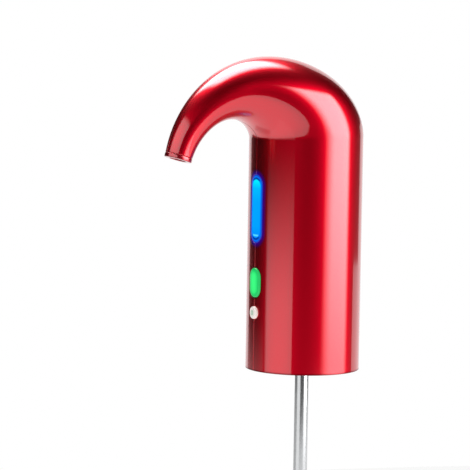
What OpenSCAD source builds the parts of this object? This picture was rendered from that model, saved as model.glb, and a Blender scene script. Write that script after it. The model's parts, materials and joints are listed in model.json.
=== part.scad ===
// Hand-held electric pourer: a round body with a gooseneck spout that plugs onto a neck,
// pumps air in through the plug and lifts the drink through a telescopic tube.
// The origin is on the body's axis at the seat where the neck's lip stops. +X points to the spout.

/* [Body] */
// Outside diameter of the round body
body_d = 65; // [62:0.5:72]
// Thickness of the body walls
shell_wall = 2.2; // [1.8:0.1:2.8]
// Depth of the skirt, from the lip seat down to the rim
skirt_depth = 26; // [24:0.5:30]
// Height of the straight back wall above the rim
back_h = 132.7; // [130:0.1:140]
// Height of the straight front wall above the rim
front_h = 131; // [124:0.1:134]
// Gap left along the parting line between the two half shells
seam_gap = 0.12; // [0.05:0.01:0.3]

/* [Gooseneck] */
// How long the back keeps rising before it leans forward
back_rise = 36.5; // [30:0.1:40]
// Forward reach of the point that pulls the crown up
crown_x = 29.4; // [24:0.1:34]
// Height above the rim of the point that pulls the crown up
crown_h = 205.8; // [200:0.1:212]
// Length over which the crown runs straight into the tip
crown_run = 44.6; // [40:0.1:50]
// How long the front keeps rising into the throat
throat_rise = 5.3; // [4:0.1:20]
// Forward reach of the point that pulls the throat up
throat_x = 47.8; // [44:0.1:53]
// Height above the rim of the point that pulls the throat up
throat_h = 152.4; // [146:0.1:156]
// Length over which the throat runs straight into the tip
throat_run = 22; // [18:0.1:26]
// Forward reach of the centre of the tip
tip_x = 83.1; // [78:0.1:90]
// Height of the centre of the tip above the rim
tip_h = 120.1; // [114:0.1:124]
// Angle of the tip below the horizontal
tip_drop = 74; // [70:0.5:84]
// Angle by which each outline of the gooseneck leans in towards the tip
tip_taper = 3.5; // [0:0.5:5]
// Outside diameter of the tip
tip_d = 15.6; // [15.2:0.1:18]
// Thickness of the wall at the tip
tip_wall = 1.6; // [1.2:0.1:1.8]
// How far each side of the gooseneck spreads past a round section behind the bend
neck_spread = 1.4; // [0:0.1:2]
// How much fuller the gooseneck's sections are towards the crown, as a share of their width
neck_fullness = 0.16; // [0:0.01:0.2]

/* [Nozzle] */
// Height of the ring that closes the tip
nozzle_lip = 2.4; // [0.8:0.1:3]
// Length of the sleeve inside the tip
nozzle_sleeve = 6; // [4:0.5:8]
// Length of the hose stub behind the sleeve
nozzle_stub = 6; // [5:0.5:8]
// Diameter of the mouth
nozzle_mouth_d = 9.5; // [8:0.5:10]
// Gap around the sleeve
nozzle_gap = 0.6; // [0.5:0.05:0.9]

/* [Front controls] */
// Width of the light window
window_w = 12; // [10:0.1:13]
// Length of the light window
window_l = 38.5; // [34:0.5:42]
// Height of the middle of the light window above the rim
window_h = 92; // [90:0.5:96]
// Width of the button
button_w = 10.5; // [9:0.1:12]
// Length of the button
button_l = 16.5; // [14:0.5:18]
// Height of the middle of the button above the rim
button_h = 50.2; // [49:0.1:52]
// Travel of the button
button_travel = 0.9; // [0.5:0.1:1]
// Diameter of the status light
status_d = 7; // [6:0.1:8]
// Height of the middle of the status light above the rim
status_h = 33.2; // [32:0.1:35]
// Gap around the fixed lenses
lens_gap = 0.12; // [0.05:0.01:0.3]
// Gap around the button
button_gap = 0.3; // [0.3:0.05:0.5]
// Width of the ledge that holds a lens or the button behind the wall
ledge_w = 1.4; // [1:0.1:1.6]
// Thickness of that ledge
ledge_t = 1.4; // [1:0.1:1.6]
// How far the button stands out of the wall
button_out = 0.8; // [0.3:0.1:1.2]
// How far the status light stands out of the wall
status_out = 1.5; // [0.3:0.1:2]

/* [Neck fitting] */
// Diameter of the socket that takes the neck's lip
socket_d = 31; // [30:0.5:33]
// Thickness of the socket's wall and of the base plate
base_t = 2.2; // [1.8:0.1:2.6]
// How far the base plate sits up inside the rim
base_recess = 0.6; // [0.3:0.1:1]
// Thickness of the soft ring that the lip stops on
gasket_t = 1.5; // [1:0.1:2]
// Diameter of the plug's sealing ribs
plug_d = 18.5; // [18.1:0.1:19]
// Depth of the grooves between the ribs
rib_depth = 0.8; // [0.5:0.05:0.8]
// Width of each rib
rib_w = 2.4; // [2:0.1:2.6]
// Width of each groove
groove_w = 1.8; // [1.4:0.1:2]
// Number of ribs
rib_n = 4; // [3:1:4]
// Diameter of the stiff core of the plug
core_d = 15; // [14.4:0.1:15.4]
// Length of the plug below the lip seat
plug_l = 21; // [20:0.5:23]
// Thickness of the flange that holds the core on the base
core_flange_t = 2.5; // [2:0.1:3]
// Diameter of that flange
core_flange_d = 23.6; // [23:0.1:24]

/* [Telescopic tube] */
// Outside diameter of the fixed upper tube
upper_d = 8; // [7.6:0.1:8.4]
// Outside diameter of the sliding lower tube
lower_d = 6.6; // [6:0.1:6.6]
// Wall of both tubes
tube_wall = 0.4; // [0.3:0.05:0.4]
// How deep the upper tube sits in the plug
tube_seat = 12; // [10:0.5:13]
// Length of the upper tube that shows below the plug
upper_l = 109; // [100:1:115]
// Travel of the lower tube
tube_travel = 100; // [60:1:100]
// Length of the collar on the end of the upper tube
collar_l = 7; // [6:0.5:9]
// Diameter of the collar
collar_d = 10.4; // [10:0.1:12]
// Length of the intake foot
foot_l = 12; // [11:0.5:15]
// Diameter of the intake foot
foot_d = 9; // [8.6:0.1:10]
// Running gap between pieces that slide
slide_gap = 0.05; // [0.03:0.01:0.08]

/* [Pump and motor] */
// Gap between the pump and the body wall
pump_gap = 0.9; // [0.7:0.1:1.2]
// Gap between the pump and the pouring hose
pump_hose_gap = 1.4; // [1.2:0.1:2]
// Direction of the pump from the body's axis
pump_angle = 243; // [238:1:246]
// Length of the motor can
motor_l = 30; // [26:0.5:31]
// Wall of the motor can
can_wall = 1; // [0.8:0.1:1.2]
// Diameter of the motor shaft
shaft_d = 2; // [1.8:0.1:2.3]
// Throw of the crank pin
crank_throw = 1.2; // [1:0.1:1.3]
// Diameter of the crank pin
crank_pin_d = 1.6; // [1.4:0.1:1.8]
// Diameter of a diaphragm cup, as a share of the pump chamber's radius
cup_share = 0.81; // [0.7:0.01:0.82]
// Gap between the cups and the pump chamber's wall
cup_gap = 0.1; // [0.1:0.05:0.3]
// Number of cups
cup_n = 3; // [2:1:3]

/* [Battery and boards] */
// Diameter of the battery cell
cell_d = 18.4; // [18:0.1:18.6]
// Length of the battery cell
cell_l = 65; // [60:0.5:66]
// Gap between the cell and the body wall
cell_gap = 1.5; // [1:0.1:2]
// Direction of the cell from the body's axis
cell_angle = 117; // [114:1:122]
// Thickness of the circuit boards
board_t = 1.6; // [1:0.1:2]
// Width of the main board
board_w = 26; // [24:0.5:28]
// Distance of the main board's face behind the wall's inner face
board_setback = 9.3; // [9:0.1:9.8]
// Width of the charging port
port_w = 8.94; // [8.6:0.02:9.2]
// Height of the charging port
port_t = 3.26; // [3:0.02:3.4]
// Depth of the charging port
port_l = 7.35; // [6.8:0.05:7.6]
// Height of the charging port above the rim
port_h = 12; // [11:0.5:14]

/* [Chassis] */
// Thickness of the chassis walls
frame_t = 2.2; // [1.8:0.1:2.5]
// Height of the lower shelf's underside above the seat plate
shelf_rise = 16; // [15.5:0.5:18]
// Gap between the shelves and the body wall
shelf_gap = 3.3; // [3:0.1:4]

/* [Hoses and leads] */
// Inside diameter of the pouring hose
hose_id = 6; // [5:0.1:6.4]
// Wall of the pouring hose
hose_wall = 1; // [0.8:0.1:1.2]
// Inside diameter of the air hose
air_id = 3.8; // [3.4:0.1:4]
// Wall of the air hose
air_wall = 1.2; // [1:0.1:1.4]
// Diameter of the insulated leads
lead_d = 1.4; // [1:0.1:1.6]

/* [Screws] */
// Thread diameter of the base and chassis screws
screw_d = 2.2; // [2:0.1:2.5]
// Head diameter of the base and chassis screws
screw_head_d = 4.2; // [3.8:0.1:4.4]
// Thread diameter of the small screws
small_d = 1.6; // [1.4:0.1:1.8]
// Head diameter of the small screws
small_head_d = 3.2; // [3:0.1:3.4]
// Gap around a screw in its hole
screw_gap = 0.1; // [0.05:0.01:0.15]

/* [Hidden] */

$fn = 96;
// Overlap that lets one cut or joined shape pass cleanly into the next
bite = 0.5;
// Counts of facets on the gooseneck: along it, and round half of it
neck_steps = 36;
neck_arc = 28;
// Counts of facets on a hose: along its bend, and round it
hose_steps = 20;
hose_sides = 20;
lead_sides = 8;

body_r = body_d / 2;
inner_r = body_r - shell_wall;
rim_z = -skirt_depth;
window_z = rim_z + window_h;
button_z = rim_z + button_h;
status_z = rim_z + status_h;

// Levels of the base, from the lip seat upwards
roof_z = gasket_t;
deck_z = roof_z + base_t;
base_z = rim_z + base_recess;
base_top_z = base_z + base_t;
socket_r = socket_d / 2;
socket_out_r = socket_r + base_t;
core_r = core_d / 2;
plug_r = plug_d / 2;
fit_gap = 0.05;
shelf_r = inner_r - shelf_gap;
hose_r = hose_id / 2 + hose_wall;

// Levels of the chassis, pump and motor
shelf_z = deck_z + shelf_rise;
shelf_top_z = shelf_z + frame_t;
pad_t = 2;
cover_t = 5;
valve_t = 1.5;
flange_t = 1.2;
cup_l = 4;
wobble_t = 1.6;
hub_l = 3;
crank_l = 2.4;
eccentric_l = 4;
pump_z = shelf_top_z + pad_t;
valve_z = pump_z + cover_t;
diaphragm_z = valve_z + valve_t;
pump_body_z = diaphragm_z + flange_t;
wobble_z = pump_body_z + cup_l;
hub_top_z = wobble_z + wobble_t + hub_l;
eccentric_z = hub_top_z + 0.4;
motor_z = eccentric_z + eccentric_l + 1.6;
motor_top_z = motor_z + motor_l;
cap_t = 2;
pump_r = (inner_r - pump_gap - hose_r - pump_hose_gap) / 2;
pump_cavity_r = pump_r - 3.1;
cup_d = pump_cavity_r * cup_share;
cup_ring_r = pump_cavity_r - cup_d / 2 - cup_gap;
pump_screw_r = pump_r - 1.6;
pump_reach = inner_r - pump_gap - pump_r;
shaft_r = shaft_d / 2;
magnet_t = 1.6;
magnet_end = 5;
magnet_gap = 4;
armature_r = pump_r - can_wall - magnet_t - 0.5;

// Levels of the battery and the upper shelf
tab_t = 0.3;
cell_r = cell_d / 2;
cell_reach = inner_r - cell_gap - cell_r;
cell_z = shelf_top_z + tab_t;
cell_button_l = 0.8;
cell_top_z = cell_z + cell_l;
upper_shelf_z = cell_top_z + cell_button_l + tab_t + lead_d + 0.4;
frame_top_z = upper_shelf_z + frame_t;

// Places along the front, from the wall inwards
board_face_x = inner_r - board_setback;
board_back_x = board_face_x - board_t;
frame_face_x = board_back_x - 5;
frame_w = 38;
board_z = deck_z + bite;
board_top_z = max(window_z + window_l / 2, frame_top_z) + 1;
led_t = 1;
switch_w = 6;
switch_t = 3.4;
ledge_r = inner_r - lens_gap;
button_ledge_r = inner_r - button_gap;
plunger_x = board_face_x + switch_t + 0.9;
plunger_d = 3.4;

// Fluid path
stub_r = hose_id / 2;
bore_r = stub_r - 1;
stub_top_z = deck_z + core_flange_t + 8.5;
air_stub_r = air_id / 2;
air_bore_r = air_stub_r - 0.8;
air_hole_reach = (core_r + upper_d / 2) / 2;
arm_w = air_id + 2.6;
arm_top_z = deck_z + core_flange_t + 2;
air_stub_top_z = arm_top_z + 5.5;
air_end_z = pump_z - 7;
tube_top_z = -plug_l + tube_seat;
upper_end_z = -plug_l - upper_l;
collar_end_z = upper_end_z - 3;
lower_top_z = upper_end_z + upper_l - 4;
foot_top_z = collar_end_z - 0.5;
upper_r = upper_d / 2;
lower_r = lower_d / 2;

// Gooseneck outlines, in the plane of symmetry, as (forward, up)
function heading(drop) = [cos(drop), -sin(drop)];
tip_dir = heading(tip_drop);
tip_side = [sin(tip_drop), cos(tip_drop)];
tip_end = [tip_x, rim_z + tip_h];
neck_end = tip_end - nozzle_lip * tip_dir;
tip_r = tip_d / 2;
crown_end = neck_end + tip_r * tip_side;
throat_end = neck_end - tip_r * tip_side;
back_z = rim_z + back_h;
front_z = rim_z + front_h;
crown_curve = [
    [-body_r, back_z], [-body_r, back_z + back_rise], [crown_x, rim_z + crown_h],
    crown_end - crown_run * heading(tip_drop + tip_taper), crown_end
];
throat_curve = [
    [body_r, front_z], [body_r, front_z + throat_rise], [throat_x, rim_z + throat_h],
    throat_end - throat_run * heading(tip_drop - tip_taper), throat_end
];
// Where the straight body ends and the gooseneck starts
join_z = front_z - 6;
// The gooseneck's facets stay this far inside the straight wall where they join it
join_inset = 0.03;
join_inner = 0.12;
// Shares of the gooseneck's length over which it spreads, and over which it gets fuller
spread_end = 0.6;
full_from = 0.05;
full_to = 0.5;

function lerp(a, b, t) = a + (b - a) * t;
function bezier(p, t) =
    len(p) == 1 ? p[0] : bezier([for (i = [0:len(p) - 2]) lerp(p[i], p[i + 1], t)], t);
function smooth_step(t, low, high) =
    let (s = min(1, max(0, (t - low) / (high - low)))) s * s * (3 - 2 * s);
function polar(r, a) = [r * cos(a), r * sin(a), 0];

// One ring of the gooseneck: its centre, half width in the plane of symmetry, half width across it,
// direction from throat to crown and how much fuller it is on the crown side
function neck_ring(t) =
    let (
        crown = bezier(crown_curve, t),
        throat = bezier(throat_curve, t),
        half = norm(crown - throat) / 2,
        start = norm(crown_curve[0] - throat_curve[0]) / 2,
        spread = neck_spread * pow(sin(180 * min(1, t / spread_end)), 2),
        across = half - (start - body_r) * (1 - t) * (1 - t) + spread,
        fullness = neck_fullness * smooth_step(t, full_from, full_to) * (1 - t)
    )
    [(crown + throat) / 2, half, across, (crown - throat) / (2 * half), fullness];
function join_ring() = [[0, join_z], body_r, body_r, [-1, 0], 0];

// Points of a half ring, from the crown side to the throat side
function half_arc(ring, inset) =
    [for (i = [0:neck_arc])
        let (a = 180 * i / neck_arc, u = (ring[1] - inset) * cos(a), p = ring[0] + u * ring[3])
        [p[0], (ring[2] - inset) * sin(a) * (1 + ring[4] * cos(a)), p[1]]];
function reversed(list) = [for (i = [len(list) - 1:-1:0]) list[i]];
// Closed outline of one half wall at a ring: outside arc, then inside arc back
function wall_loop(ring, wall) =
    concat(half_arc(ring, join_inset), reversed(half_arc(ring, wall - join_inner)));

// Triangles between the outlines of a skin, where each outline has q points
function skin_sides(rows, q) =
    [for (k = [0:rows - 2], i = [0:q - 1])
        let (a = k * q + i, b = k * q + (i + 1) % q)
        each [[a, b, b + q], [a, b + q, a + q]]];
// Triangles that close an outline made of an outside and an inside run
function skin_cap(base, q, flip) =
    [for (i = [0:q / 2 - 2])
        let (a = base + i, b = base + i + 1, c = base + q - 2 - i, d = base + q - 1 - i)
        each (flip ? [[a, c, b], [a, d, c]] : [[a, b, c], [a, c, d]])];

// A flat-sided prism with round ends, standing along Z and running along X
module slot_prism(w, l, x0, x1) {
    translate([x0, -w / 2, -(l - w) / 2]) cube([x1 - x0, w, l - w]);
    for (s = [-1, 1])
        translate([x0, 0, s * (l - w) / 2]) rotate([0, 90, 0]) cylinder(d = w, h = x1 - x0);
}

module pipe(r_out, r_in, h) {
    difference() {
        cylinder(r = r_out, h = h);
        translate([0, 0, -bite]) cylinder(r = r_in, h = h + 2 * bite);
    }
}

// A pan-head screw with its head's underside at the origin and its thread running down
module screw(d, head_d, l) {
    head_t = head_d * 0.4;
    difference() {
        union() {
            cylinder(d = head_d, h = head_t);
            translate([0, 0, -l]) cylinder(d = d, h = l + bite);
        }
        for (a = [0, 90])
            rotate([0, 0, a]) translate([-head_d * 0.3, -head_d * 0.06, head_t * 0.5])
                cube([head_d * 0.6, head_d * 0.12, head_t]);
    }
}

// A tube or rod swept along points of the XZ plane, given as (x, z)
function path_dir(p, i) =
    let (a = p[max(i - 1, 0)], b = p[min(i + 1, len(p) - 1)]) (b - a) / norm(b - a);
function sweep_ring(p, i, r, sides) =
    let (d = path_dir(p, i), n = [-d[1], d[0]])
    [for (k = [0:sides - 1])
        let (a = 360 * k / sides)
        [p[i][0] + r * cos(a) * n[0], r * sin(a), p[i][1] + r * cos(a) * n[1]]];
module sweep_rod(p, r, sides) {
    rings = [for (i = [0:len(p) - 1]) each sweep_ring(p, i, r, sides)];
    last = (len(p) - 1) * sides;
    ends = [for (i = [1:sides - 2]) each [[0, i + 1, i], [last, last + i, last + i + 1]]];
    polyhedron(rings, concat(skin_sides(len(p), sides), ends));
}
module sweep_tube(p, r_out, r_in, sides) {
    q = sides;
    out = [for (i = [0:len(p) - 1]) each sweep_ring(p, i, r_out, q)];
    inn = [for (i = [0:len(p) - 1]) each sweep_ring(p, i, r_in, q)];
    m = len(out);
    last = m - q;
    sides_out = skin_sides(len(p), q);
    sides_in = [for (f = sides_out) [f[0] + m, f[2] + m, f[1] + m]];
    ends = [for (i = [0:q - 1])
        let (j = (i + 1) % q)
        each [[i, m + j, j], [i, m + i, m + j],
              [last + i, last + j, m + last + j], [last + i, m + last + j, m + last + i]]];
    polyhedron(concat(out, inn), concat(sides_out, sides_in, ends));
}

// Shells

screw_boss_r = screw_d / 2 + 2;
screw_boss_reach = inner_r - screw_boss_r + 0.8;
screw_boss_l = 13;
base_screw_l = 9;

module neck_half() {
    rings = concat([join_ring()], [for (k = [0:neck_steps]) neck_ring(k / neck_steps)]);
    walls = concat([shell_wall], [for (k = [0:neck_steps]) lerp(shell_wall, tip_wall, k / neck_steps)]);
    q = 2 * (neck_arc + 1);
    rows = len(rings);
    points = [for (k = [0:rows - 1]) each wall_loop(rings[k], walls[k])];
    faces = concat(skin_sides(rows, q), skin_cap(0, q, true), skin_cap((rows - 1) * q, q, false));
    polyhedron(points, faces);
}

module front_openings() {
    x0 = inner_r - 4;
    x1 = body_r + 2;
    translate([0, 0, window_z]) slot_prism(window_w + 2 * lens_gap, window_l + 2 * lens_gap, x0, x1);
    translate([0, 0, button_z]) slot_prism(button_w + 2 * button_gap, button_l + 2 * button_gap, x0, x1);
    translate([x0, 0, status_z]) rotate([0, 90, 0]) cylinder(d = status_d + 2 * lens_gap, h = x1 - x0);
}

module port_opening() {
    translate([0, 0, rim_z + port_h]) rotate([0, 90, 0])
        translate([0, 0, -body_r - 2]) linear_extrude(shell_wall + 6) port_outline(0.3);
}

module port_outline(grow) {
    w = port_w + 2 * grow;
    t = port_t + 2 * grow;
    square([t, w - t], center = true);
    for (s = [-1, 1])
        translate([0, s * (w - t) / 2]) circle(d = t);
}

module half_shell() {
    difference() {
        union() {
            translate([0, 0, rim_z]) pipe(body_r, inner_r, join_z - rim_z + bite);
            for (a = [45, 135])
                translate(polar(screw_boss_reach, a) + [0, 0, base_top_z])
                    cylinder(r = screw_boss_r, h = screw_boss_l);
        }
        difference() {
            translate([0, 0, rim_z - 1]) cylinder(r = body_r + 20, h = join_z - rim_z + 10);
            translate([0, 0, rim_z - 2]) cylinder(r = body_r, h = join_z - rim_z + 12);
        }
        for (a = [45, 135])
            translate(polar(screw_boss_reach, a) + [0, 0, base_top_z - bite])
                cylinder(d = screw_d + 2 * screw_gap, h = base_screw_l + bite);
        front_openings();
        port_opening();
        translate([-body_r - 1, -2 * body_r, rim_z - 1])
            cube([2 * body_r + 2, 2 * body_r + seam_gap / 2, join_z - rim_z + 4]);
    }
    translate([0, seam_gap / 2, 0]) neck_half();
}

module left_shell() {
    color([0.62, 0.03, 0.07]) half_shell();
}

module right_shell() {
    color([0.62, 0.03, 0.07]) mirror([0, 1, 0]) half_shell();
}

// Base and neck fitting

chassis_foot_r = screw_d / 2 + 1.3;
chassis_foot_reach = socket_out_r - chassis_foot_r - 0.1;
chassis_foot_angles = [60, 180, 300];
core_screw_reach = core_flange_d / 2 - small_head_d / 2 - 0.2;
core_screw_angles = [30, 150];
charge_z = rim_z + port_h - port_t / 2 - board_t;
charge_socket_gap = 0.8;
charge_wall_gap = 2.8;
charge_depth = inner_r - socket_out_r - charge_socket_gap - charge_wall_gap;
charge_post_x = -socket_out_r - charge_socket_gap - charge_depth / 2;
charge_post_y = 6.4;
charge_post_r = small_d / 2 + 1;

module base_cover() {
    color([0.16, 0.03, 0.04]) difference() {
        union() {
            translate([0, 0, base_z]) cylinder(r = inner_r - 0.15, h = base_t);
            translate([0, 0, base_z]) cylinder(r = socket_out_r, h = deck_z - base_z);
            for (s = [-1, 1])
                translate([charge_post_x, s * charge_post_y, base_z])
                    cylinder(r = charge_post_r, h = charge_z - base_z);
        }
        translate([0, 0, base_z - bite]) cylinder(r = socket_r, h = roof_z - base_z + bite);
        cylinder(r = core_r + fit_gap, h = deck_z + bite);
        for (a = [45, 135, 225, 315])
            translate(polar(screw_boss_reach, a) + [0, 0, base_z]) {
                translate([0, 0, -bite]) cylinder(d = screw_d + 2 * screw_gap, h = base_t + 2 * bite);
                translate([0, 0, -bite]) cylinder(d = screw_head_d + 0.4, h = base_t / 2 + bite);
            }
        for (a = chassis_foot_angles)
            translate(polar(chassis_foot_reach, a) + [0, 0, roof_z - bite])
                cylinder(d = screw_d + 2 * screw_gap, h = base_t + 2 * bite);
        for (a = core_screw_angles)
            translate(polar(core_screw_reach, a) + [0, 0, roof_z - bite])
                cylinder(d = small_d + 2 * screw_gap, h = base_t + 2 * bite);
        for (s = [-1, 1])
            translate([charge_post_x, s * charge_post_y, charge_z - 4])
                cylinder(d = small_d + 2 * screw_gap, h = 4 + bite);
    }
}

module base_screws() {
    color([0.55, 0.55, 0.57])
        for (a = [45, 135, 225, 315])
            translate(polar(screw_boss_reach, a) + [0, 0, base_z + base_t / 2 - fit_gap])
                rotate([180, 0, 0]) screw(screw_d, screw_head_d, base_screw_l - 1);
}

module lip_gasket() {
    color([0.8, 0.8, 0.78])
        pipe(socket_r - 0.3, plug_r + 0.65, gasket_t - fit_gap);
}

module plug_sleeve() {
    low_r = plug_r - rib_depth;
    pitch = rib_w + groove_w;
    ribs = [for (i = [1:rib_n - 1])
        let (z = -rib_w - (i - 1) * pitch)
        each [[plug_r, z], [low_r, z], [low_r, z - groove_w], [plug_r, z - groove_w]]];
    end_z = -rib_w - (rib_n - 1) * pitch;
    outline = concat(
        [[core_r + fit_gap, roof_z - fit_gap], [plug_r, roof_z - fit_gap]],
        ribs,
        [[plug_r, end_z], [low_r, end_z], [low_r - 0.4, -plug_l + 0.5], [core_r + fit_gap, -plug_l + 0.5]]
    );
    color([0.75, 0.75, 0.73]) rotate_extrude() polygon(reversed(outline));
}

module plug_core() {
    color([0.2, 0.2, 0.22]) difference() {
        union() {
            translate([0, 0, -plug_l]) cylinder(r = core_r, h = plug_l + deck_z + bite);
            translate([0, 0, deck_z]) cylinder(d = core_flange_d, h = core_flange_t);
            translate([0, 0, deck_z]) cylinder(r = stub_r - 0.1, h = stub_top_z - deck_z);
            for (z = [stub_top_z - 1.2, stub_top_z - 4.2])
                translate([0, 0, z]) cylinder(r = stub_r - fit_gap / 2, h = 1.2);
            rotate([0, 0, pump_angle]) translate([0, 0, deck_z + fit_gap]) {
                translate([core_r - 3, -arm_w / 2, 0])
                    cube([pump_reach - core_r + 3, arm_w, arm_top_z - deck_z - fit_gap]);
                translate([pump_reach, 0, 0]) cylinder(d = arm_w, h = arm_top_z - deck_z - fit_gap);
                translate([pump_reach, 0, 0])
                    cylinder(r = air_stub_r - fit_gap / 2, h = air_stub_top_z - deck_z - fit_gap);
            }
        }
        translate([0, 0, -plug_l - bite]) cylinder(r = upper_r + fit_gap / 2, h = tube_seat + bite);
        cylinder(r = bore_r, h = stub_top_z + bite);
        translate([0, 0, tube_top_z - bite]) cylinder(r = bore_r, h = plug_l);
        rotate([0, 0, pump_angle]) {
            duct_z = (deck_z + arm_top_z) / 2;
            translate([air_hole_reach, 0, -plug_l - bite])
                cylinder(r = air_bore_r, h = plug_l + bite + duct_z);
            translate([air_hole_reach, 0, duct_z]) rotate([0, 90, 0])
                cylinder(r = air_bore_r, h = pump_reach - air_hole_reach);
            translate([pump_reach, 0, duct_z]) cylinder(r = air_bore_r, h = air_stub_top_z);
        }
        for (a = core_screw_angles)
            translate(polar(core_screw_reach, a) + [0, 0, deck_z - bite])
                cylinder(d = small_d + 2 * screw_gap, h = core_flange_t + 2 * bite);
    }
}

module core_screws() {
    color([0.55, 0.55, 0.57])
        for (a = core_screw_angles)
            translate(polar(core_screw_reach, a) + [0, 0, deck_z + core_flange_t + fit_gap])
                screw(small_d, small_head_d, core_flange_t + base_t - 0.3);
}

// Telescopic tube

module upper_tube() {
    color([0.75, 0.76, 0.78]) translate([0, 0, upper_end_z])
        pipe(upper_r, upper_r - tube_wall, tube_top_z - upper_end_z - fit_gap);
}

module tube_collar() {
    collar_r = collar_d / 2;
    lip_z = upper_end_z - fit_gap;
    color([0.2, 0.2, 0.22]) difference() {
        translate([0, 0, collar_end_z]) cylinder(r = collar_r, h = collar_l);
        translate([0, 0, lip_z]) cylinder(r = upper_r + fit_gap / 2, h = collar_l);
        translate([0, 0, lip_z - 1.5]) cylinder(r = upper_r - 0.05, h = 2);
        translate([0, 0, collar_end_z - bite]) cylinder(r = lower_r + 2 * slide_gap, h = collar_l);
        for (k = [0:11])
            rotate([0, 0, 30 * k]) translate([collar_r + 0.2, 0, collar_end_z + 1.5])
                cylinder(r = 0.7, h = collar_l);
    }
}

module tube_seal() {
    seal_in = lower_r + slide_gap;
    seal_t = (upper_r - 0.1 - seal_in) / 2;
    color([0.1, 0.1, 0.1]) translate([0, 0, upper_end_z - 0.9])
        rotate_extrude() translate([seal_in + seal_t, 0]) circle(r = seal_t, $fn = 24);
}

module lower_tube() {
    color([0.78, 0.79, 0.8]) translate([0, 0, foot_top_z - 5])
        pipe(lower_r, lower_r - tube_wall, lower_top_z - foot_top_z + 5);
}

module slide_ring() {
    color([0.9, 0.9, 0.88]) translate([0, 0, lower_top_z - 5]) difference() {
        cylinder(r = upper_r - tube_wall - slide_gap, h = 5);
        translate([0, 0, -bite]) cylinder(r = lower_r + slide_gap / 2, h = 5 + 2 * bite);
    }
}

module intake_foot() {
    r = foot_d / 2;
    seat_z = foot_top_z - 5 - fit_gap;
    color([0.2, 0.2, 0.22]) difference() {
        translate([0, 0, foot_top_z - foot_l]) rotate_extrude()
            polygon([[0, 0], [r - 1.5, 0], [r, 1.5], [r, foot_l - 0.6], [r - 0.6, foot_l], [0, foot_l]]);
        translate([0, 0, seat_z]) cylinder(r = lower_r + fit_gap / 2, h = foot_l);
        translate([0, 0, foot_top_z - foot_l + 1.5]) cylinder(r = lower_r - tube_wall, h = foot_l);
        for (a = [0:60:300])
            rotate([0, 0, a]) translate([0, -0.7, foot_top_z - foot_l + 2]) cube([r + 1, 1.4, foot_l - 8.2]);
    }
}

// Front controls

// What lies between two radii about the body's axis, at some height
module wall_band(r_in, r_out, z, h) {
    translate([0, 0, z - h / 2]) pipe(r_out, r_in, h);
}

module wall_plug(w, l, z, out_r, ledge_out_r) {
    intersection() {
        translate([0, 0, z]) slot_prism(w, l, ledge_out_r - ledge_t / 2, out_r + 2);
        wall_band(ledge_out_r - ledge_t, out_r, z, l + 4);
    }
    intersection() {
        translate([0, 0, z]) slot_prism(w + 2 * ledge_w, l + 2 * ledge_w, ledge_out_r - 4, out_r);
        wall_band(ledge_out_r - ledge_t, ledge_out_r, z, l + 4 * ledge_w);
    }
}

module window_lens() {
    color([0.1, 0.35, 0.95, 0.8]) wall_plug(window_w, window_l, window_z, body_r, ledge_r);
}

guide_w = window_w - 3;
guide_l = window_l - 4;
module light_guide() {
    x0 = board_face_x + led_t + 0.3;
    color([0.7, 0.9, 1]) translate([0, 0, window_z])
        slot_prism(guide_w, guide_l, x0, ledge_r - ledge_t - 0.6);
}

led_n = 5;
led_w = 3;
module window_leds() {
    pitch = guide_l / led_n;
    bottom_z = window_z - led_w / 2 - pitch * (led_n - 1) / 2;
    color([0.95, 0.95, 0.85])
        for (i = [0:led_n - 1])
            translate([board_face_x, -led_w / 2, bottom_z + i * pitch]) cube([led_t, led_w, led_w]);
}

module button_cap() {
    color([0.1, 0.8, 0.3]) {
        wall_plug(button_w, button_l, button_z, body_r + button_out, button_ledge_r);
        translate([plunger_x + fit_gap, 0, button_z]) rotate([0, 90, 0])
            cylinder(d = plunger_d + 1, h = button_ledge_r - ledge_t - plunger_x + bite);
    }
}

plunger_in = board_face_x + 1.6;
module tact_switch() {
    color([0.12, 0.12, 0.13]) difference() {
        translate([board_face_x, -switch_w / 2, button_z - switch_w / 2])
            cube([switch_t, switch_w, switch_w]);
        translate([plunger_in - button_travel - 0.2, 0, button_z]) rotate([0, 90, 0])
            cylinder(d = plunger_d + 0.6, h = switch_t);
    }
}

module switch_plunger() {
    color([0.85, 0.8, 0.7]) translate([plunger_in, 0, button_z]) rotate([0, 90, 0])
        cylinder(d = plunger_d, h = plunger_x - plunger_in);
}

module status_lens() {
    pipe_x = board_face_x + led_t + 0.3;
    color([0.92, 0.95, 0.92]) {
        intersection() {
            translate([pipe_x, 0, status_z]) rotate([0, 90, 0]) cylinder(d = status_d, h = body_r + status_out - pipe_x + 1);
            translate([0, 0, status_z - status_d]) cylinder(r = body_r + status_out, h = 2 * status_d);
        }
        intersection() {
            translate([ledge_r - 4, 0, status_z]) rotate([0, 90, 0])
                cylinder(d = status_d + 2 * ledge_w, h = 6);
            wall_band(ledge_r - ledge_t, ledge_r, status_z, status_d + 4 * ledge_w);
        }
    }
}

module status_led() {
    color([0.95, 0.95, 0.85]) translate([board_face_x, -led_w / 2, status_z - led_w / 2])
        cube([led_t, led_w, led_w]);
}

// Boards and battery

board_post_y = board_w / 2 - 3;
board_post_z = [shelf_top_z + 5, upper_shelf_z - 3];

module main_board() {
    color([0.05, 0.3, 0.16]) difference() {
        translate([board_back_x, -board_w / 2, board_z]) cube([board_t, board_w, board_top_z - board_z]);
        for (y = [-1, 1], z = board_post_z)
            translate([board_back_x - bite, y * board_post_y, z]) rotate([0, 90, 0])
                cylinder(d = small_d + 2 * screw_gap, h = board_t + 2 * bite);
    }
}

// The two sockets on the back of the board that the leads plug into
plug_y = 6;
plug_drop = 16;
plug_z = upper_shelf_z - plug_drop;
plug_w = 6;
plug_h = 8;
plug_t = 3.5;
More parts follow.
